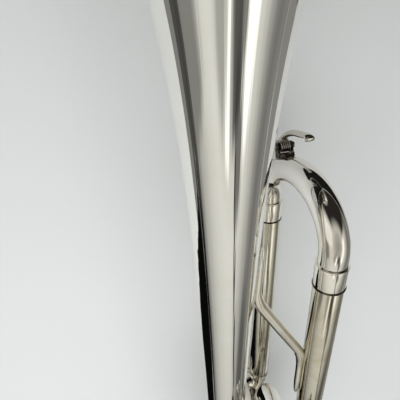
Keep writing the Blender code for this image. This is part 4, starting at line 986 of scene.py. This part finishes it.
def make_finger_ring():
    middle = Vector((-291.0, -31, 21.63))
    circle = arc(middle, X_AXIS * 12, Z_AXIS * 12, 0, 2 * math.pi, 72)[:-1]
    ring = Skin().sweep(circle, (1.75, 1.35), 20, up=Y_AXIS, loop=True)
    post = [(0, -14.9), (2.6, -14.9), (2.1, -13.8), (1.7, -12.6), (0, -12.0)]
    ring.turn(soften(post, 0.4), middle, Z_AXIS, 32)
    piece("finger_ring", ring, "third_slide", ["third_slide_ring"], fitting_silver)


# Braces and hook

BRACE_ROD = 2.5
BRACE_FOOT = 1.4
HOOK_X = -300


def brace(name, bell_xs, pipe_xs, z, pipe_radius, nodes):
    """A bent rod whose two ends are drawn out into thin feet along the tubes."""
    corners = []
    for x in bell_xs:
        corners.append((x, -math.sqrt((bell_radius(-x) + BRACE_FOOT) ** 2 - z ** 2), z))
    for x in pipe_xs:
        corners.append((x, PIPE_Y + math.sqrt((pipe_radius + BRACE_FOOT) ** 2 - (z - PIPE_Z) ** 2), z))
    path = bent(corners, 5.5, 12)
    first, last = path[0], path[-1]
    path = [first + (path[1] - first) * k / 12 for k in range(12)] + path[1:-1] + [
        path[-2] + (last - path[-2]) * k / 12 for k in range(13)]
    run = [0.0]
    for a, b in zip(path, path[1:]):
        run.append(run[-1] + (b - a).length)
    reach = min(abs(bell_xs[0] - bell_xs[1]), abs(pipe_xs[0] - pipe_xs[1]))
    widths = []
    for s in run:
        end = min(s, run[-1] - s)
        rod = min(1.0, max(0.0, (end - reach + 9) / 12))
        tip = max(0.0, 1 - end / 9)
        thick = BRACE_FOOT + 0.1 + (BRACE_ROD - BRACE_FOOT - 0.1) * rod * rod * (3 - 2 * rod)
        widths.append((thick - 0.35 * tip - 0.7 * tip ** 8,
                       thick + 0.3 * (1 - rod) - 0.5 * tip - 0.9 * tip ** 8))
    piece(name, Skin().sweep(path, widths, 28), "horn", nodes, fitting_silver)


def make_post_and_hook():
    x = VALVE_X[2]
    start, end = -bell_radius(-x) - 0.1, VALVE_Y + CASING + 0.1
    profile = [(0, start), (3.6, start), (3.2, start - 0.8), (2.1, start - 1.8), (2.0, (start + end) / 2),
               (2.1, end + 1.8), (3.2, end + 0.8), (3.6, end), (0, end)]
    post = Skin().turn(soften(profile, 0.5), (x, 0, 0), Y_AXIS, 40)
    piece("bell_post", post, "horn", ["bell_casing_post"], fitting_silver)
    middle = Vector((HOOK_X, PIPE_Y, PIPE_Z + SLEEVE + 0.3 + 1.6 + 9))
    loop = arc(middle, -X_AXIS * 9, Z_AXIS * 9, math.radians(-90), math.radians(140), 56)
    widths = []
    for k in range(len(loop)):
        t = k / (len(loop) - 1)
        tip = max(0, (t - 0.94) / 0.06) ** 2
        swell = math.sin(t * math.pi)
        widths.append((1.5 + 1.1 * swell - 0.7 * tip, 1.5 - 0.35 * swell - 0.7 * tip))
    hook = Skin().sweep(loop, widths, 24, up=Z_AXIS)
    profile = [(0, SLEEVE - 0.1), (4.0, SLEEVE - 0.1), (3.2, SLEEVE + 0.8), (2.0, SLEEVE + 1.8), (0, SLEEVE + 2)]
    hook.turn(soften(profile, 0.4), (HOOK_X, PIPE_Y, PIPE_Z), Z_AXIS, 36)
    piece("little_finger_hook", hook, "horn", ["finger_hook"], fitting_silver)


# Studio

def make_floor():
    finish = Finish("floor_paper", Roughness=0.9)
    web, at = finish.web, finish.at
    tooth = web.noise(at, 6.0, 2.0, 0.5)
    finish.set("Base Color", web.mix(tooth, (0.792, 0.813, 0.828), (0.774, 0.795, 0.810)))
    mesh = bpy.data.meshes.new("floor")
    shaper = bmesh.new()
    bmesh.ops.create_grid(shaper, x_segments=4, y_segments=4, size=4.0)
    shaper.to_mesh(mesh)
    shaper.free()
    mesh.transform(Matrix.Translation((0, 0, -0.0005)))
    mesh.materials.append(finish.material)
    floor = bpy.data.objects.new("floor", mesh)
    bpy.context.scene.collection.objects.link(floor)


def make_card(name, corners, tone):
    """A studio card that glows with its own fixed tone, lies on the floor, hidden from the camera, and shows
    only as a reflection in the plate.
    """
    material = bpy.data.materials.new(name)
    material.use_nodes = True
    web = Web(material.node_tree)
    glow = web.add("ShaderNodeEmission", {}, {"Color": (tone, tone * 0.99, tone * 0.95, 1)})
    web.feed(material.node_tree.nodes["Material Output"].inputs["Surface"], glow)
    mesh = bpy.data.meshes.new(name)
    mesh.from_pydata([(x, y, 0.0004) for x, y in corners], [], [list(range(len(corners)))])
    mesh.materials.append(material)
    card = bpy.data.objects.new(name, mesh)
    card.visible_camera = False
    card.visible_diffuse = False
    card.visible_transmission = False
    card.visible_shadow = False
    bpy.context.scene.collection.objects.link(card)


BACKDROP = (0.40, 0.41, 0.41)
LAMP_LIGHT = (1.25, 1.25, 1.20)
DARK = (0.05, 0.049, 0.045)
FLOOR_UP = (-91, -90)

# Degrees above the horizon, and how bright the wall is there
BACK_WALL = [(0, 0.10), (6, 0.22), (14, 0.43), (24, 0.57), (35, 0.69), (46, 0.76), (58, 0.66), (72, 0.46),
             (90, 0.34)]
RIGHT_WALL = [(-4, 0.22), (5, 0.22), (14, 0.18), (21, 0.25), (29, 0.41), (37, 0.60), (46, 0.76), (60, 0.64),
              (74, 0.42), (90, 0.34)]

# Colour of each patch of the room, then where it begins, is full and ends, round and up, and its strength
DIM_WALL = [((0.34, 0.34, 0.31), [((126, 137, 151, 158), (49, 57, 76, 86), 0.8)])]
PATCHES = [((0.95, 0.96, 0.94), [((56, 66, 98, 106), (12, 22, 50, 60), 1.0)]),
           ((0.235, 0.235, 0.220), [((96, 104, 119, 124), (*FLOOR_UP, 24, 38), 1.0)]),
           ((0.060, 0.060, 0.056), [((90, 98, 122, 130), (-14, -7, 3, 9), 1.0)]),
           ((0.003, 0.003, 0.003), [((121, 129, 176, 184), (*FLOOR_UP, 1, 7), 1.0)]),
           (LAMP_LIGHT, [((214, 220, 276, 290), (43, 49, 57, 62), 1.0)]),
           (LAMP_LIGHT, [((158, 164, 171, 177), (51, 56, 66, 72), 1.0)]),
           (DARK, [((193.8, 195, 197.6, 198.8), (10, 20, 54, 60), 0.97),
                   ((193, 195, 209, 214), (42, 49, 60, 66), 0.80)]),
           ((0.07, 0.069, 0.065), [((203, 207, 219, 224), (56, 60, 66, 72), 0.75),
                                   ((201, 204, 214, 224), (7, 12, 20, 27), 0.70)]),
           (DARK, [((177, 184, 204, 212), (54, 59.5, 66, 72), 0.9)])]

# Corners on the floor, in metres, and brightness
CARDS = {"rear_card": ([(-0.038, -0.03), (-0.012, 0.025), (0.010, 0.06), (0.012, 0.13), (-0.22, 0.55),
                        (-0.4, 0.95), (-2.0, 0.95), (-2.0, -0.03)], 0.003),
         "left_card": ([(-0.08, 0.29), (0.9, 0.27), (0.9, 0.62), (-0.255, 0.62)], 0.22),
         "left_far_card": ([(-0.26, 0.621), (0.9, 0.621), (0.9, 4.0), (-2.0, 4.0), (-2.0, 0.951),
                            (-0.4, 0.951)], 0.075),
         "right_card": ([(-0.9, -0.22), (-0.9, -1.5), (0.164, -1.5), (0.164, -0.22)], 0.24),
         "front_card": ([(0.210, -0.15), (0.185, -0.22), (0.165, -0.24), (0.165, -1.5), (1.5, -1.5),
                         (1.5, 0.08), (0.30, 0.08), (0.222, -0.015), (0.217, -0.11)], 0.010)}


def wall_ramp(web, lift, levels):
    """A pale wall whose brightness follows the height in degrees above the horizon."""
    stops = [((height + 90) / 180, (tone, tone * 0.995, tone * 0.935)) for height, tone in levels]
    return web.add("ShaderNodeValToRGB", {"stops": stops}, {0: (lift + 90) / 180})


def paint_patches(web, wall, turn, lift, patches):
    """Lays patches over the wall; where a colour has two, the stronger one counts."""
    for colour, spots in patches:
        masks = [turn.band(*around) * lift.band(*upward) * strength for around, upward, strength in spots]
        mask = masks[0]
        for other in masks[1:]:
            mask = mask.most(other)
        wall = web.mix(mask, wall, colour)
    return wall


def make_room():
    """What the plate mirrors: pale walls that darken to the horizon, a dark end where the
    viewer stands, two lamps, a window and a few dark strips. Directions are in degrees.
    The camera itself sees a plain backdrop."""
    world = bpy.data.worlds.new("studio")
    bpy.context.scene.world = world
    world.use_nodes = True
    web = Web(world.node_tree)
    x, y, z = web.split(web.add("ShaderNodeTexCoord", out="Generated"))
    lift = z.math("ARCSINE", z.most(-1.0).least(1.0)) * (180 / math.pi)
    turn = y.math("ARCTAN2", y, x) * (180 / math.pi)
    turn = turn.math("FLOORED_MODULO", turn, 360.0)
    wall = web.mix(turn.ease(184, 202), wall_ramp(web, lift, BACK_WALL), wall_ramp(web, lift, RIGHT_WALL))
    wall = paint_patches(web, wall, turn, lift, DIM_WALL)
    from_behind = turn.math("FLOORED_MODULO", turn + 180, 360.0)
    viewer = from_behind.band(106, 118, 218, 236) * (1 - lift.ease(40, 66))
    wall = web.mix(viewer, wall, (0.022, 0.020, 0.019))
    wall = paint_patches(web, wall, turn, lift, PATCHES)
    seen = web.add("ShaderNodeLightPath", out="Is Camera Ray")
    background = world.node_tree.nodes["Background"]
    web.feed(background.inputs["Color"], web.mix(seen, wall, BACKDROP))
    background.inputs["Strength"].default_value = 1.0
    for name, (corners, tone) in CARDS.items():
        make_card(name, corners, tone)


def make_lamp(name, spot, aim, width, power):
    light = bpy.data.lights.new(name, "AREA")
    light.shape = "DISK"
    light.size = width
    light.energy = power
    lamp = bpy.data.objects.new(name, light)
    lamp.location = spot
    lamp.rotation_euler = (Vector(aim) - Vector(spot)).to_track_quat("-Z", "Y").to_euler()
    bpy.context.scene.collection.objects.link(lamp)
    lamp.visible_glossy = False
    return lamp


SENSOR = 36
FOCAL_PIXELS = 377.45
PICTURE_PIXELS = 400
CAMERA_SPOT = (-58.66, 24.27, 120.39)


def make_camera():
    """Above the bell's mouth, looking back down the horn."""
    right = Vector((-0.03604, -0.98958, 0.13943))
    down = Vector((-0.87034, 0.09965, 0.48226))
    ahead = Vector((-0.49113, -0.10397, -0.86486))
    data = bpy.data.cameras.new("camera")
    data.sensor_width = SENSOR
    data.lens = FOCAL_PIXELS * SENSOR / PICTURE_PIXELS
    data.clip_start = 0.005
    camera = bpy.data.objects.new("camera", data)
    turn = Matrix((right, -down, -ahead)).transposed()
    camera.rotation_mode = "QUATERNION"
    camera.rotation_quaternion = turn.to_quaternion()
    camera.location = place(CAMERA_SPOT)
    bpy.context.scene.collection.objects.link(camera)
    bpy.context.scene.camera = camera


make_bell()
make_bell_bow()
make_leadpipe()
make_mouthpiece()
make_tuning_slide()
make_water_key()
for valve in (1, 2, 3):
    make_casing(valve)
    make_caps(valve)
    make_button(valve)
    make_inside(valve)
make_valve_slides()
brace("front_brace_rod", (-151, -180), (-219, -250), 1.5, MAIN_SLEEVE, ["front_brace"])
brace("rear_brace_rod", (-383, -397), (-417, -432), 8.0, 5.3, ["rear_brace"])
make_post_and_hook()
make_floor()
make_room()
make_lamp("overhead_lamp", (-0.10, 0.09, 0.62), (-0.55, 0.24, 0.0), 0.8, 3.25)
make_camera()
bpy.context.scene.view_settings.view_transform = "Standard"
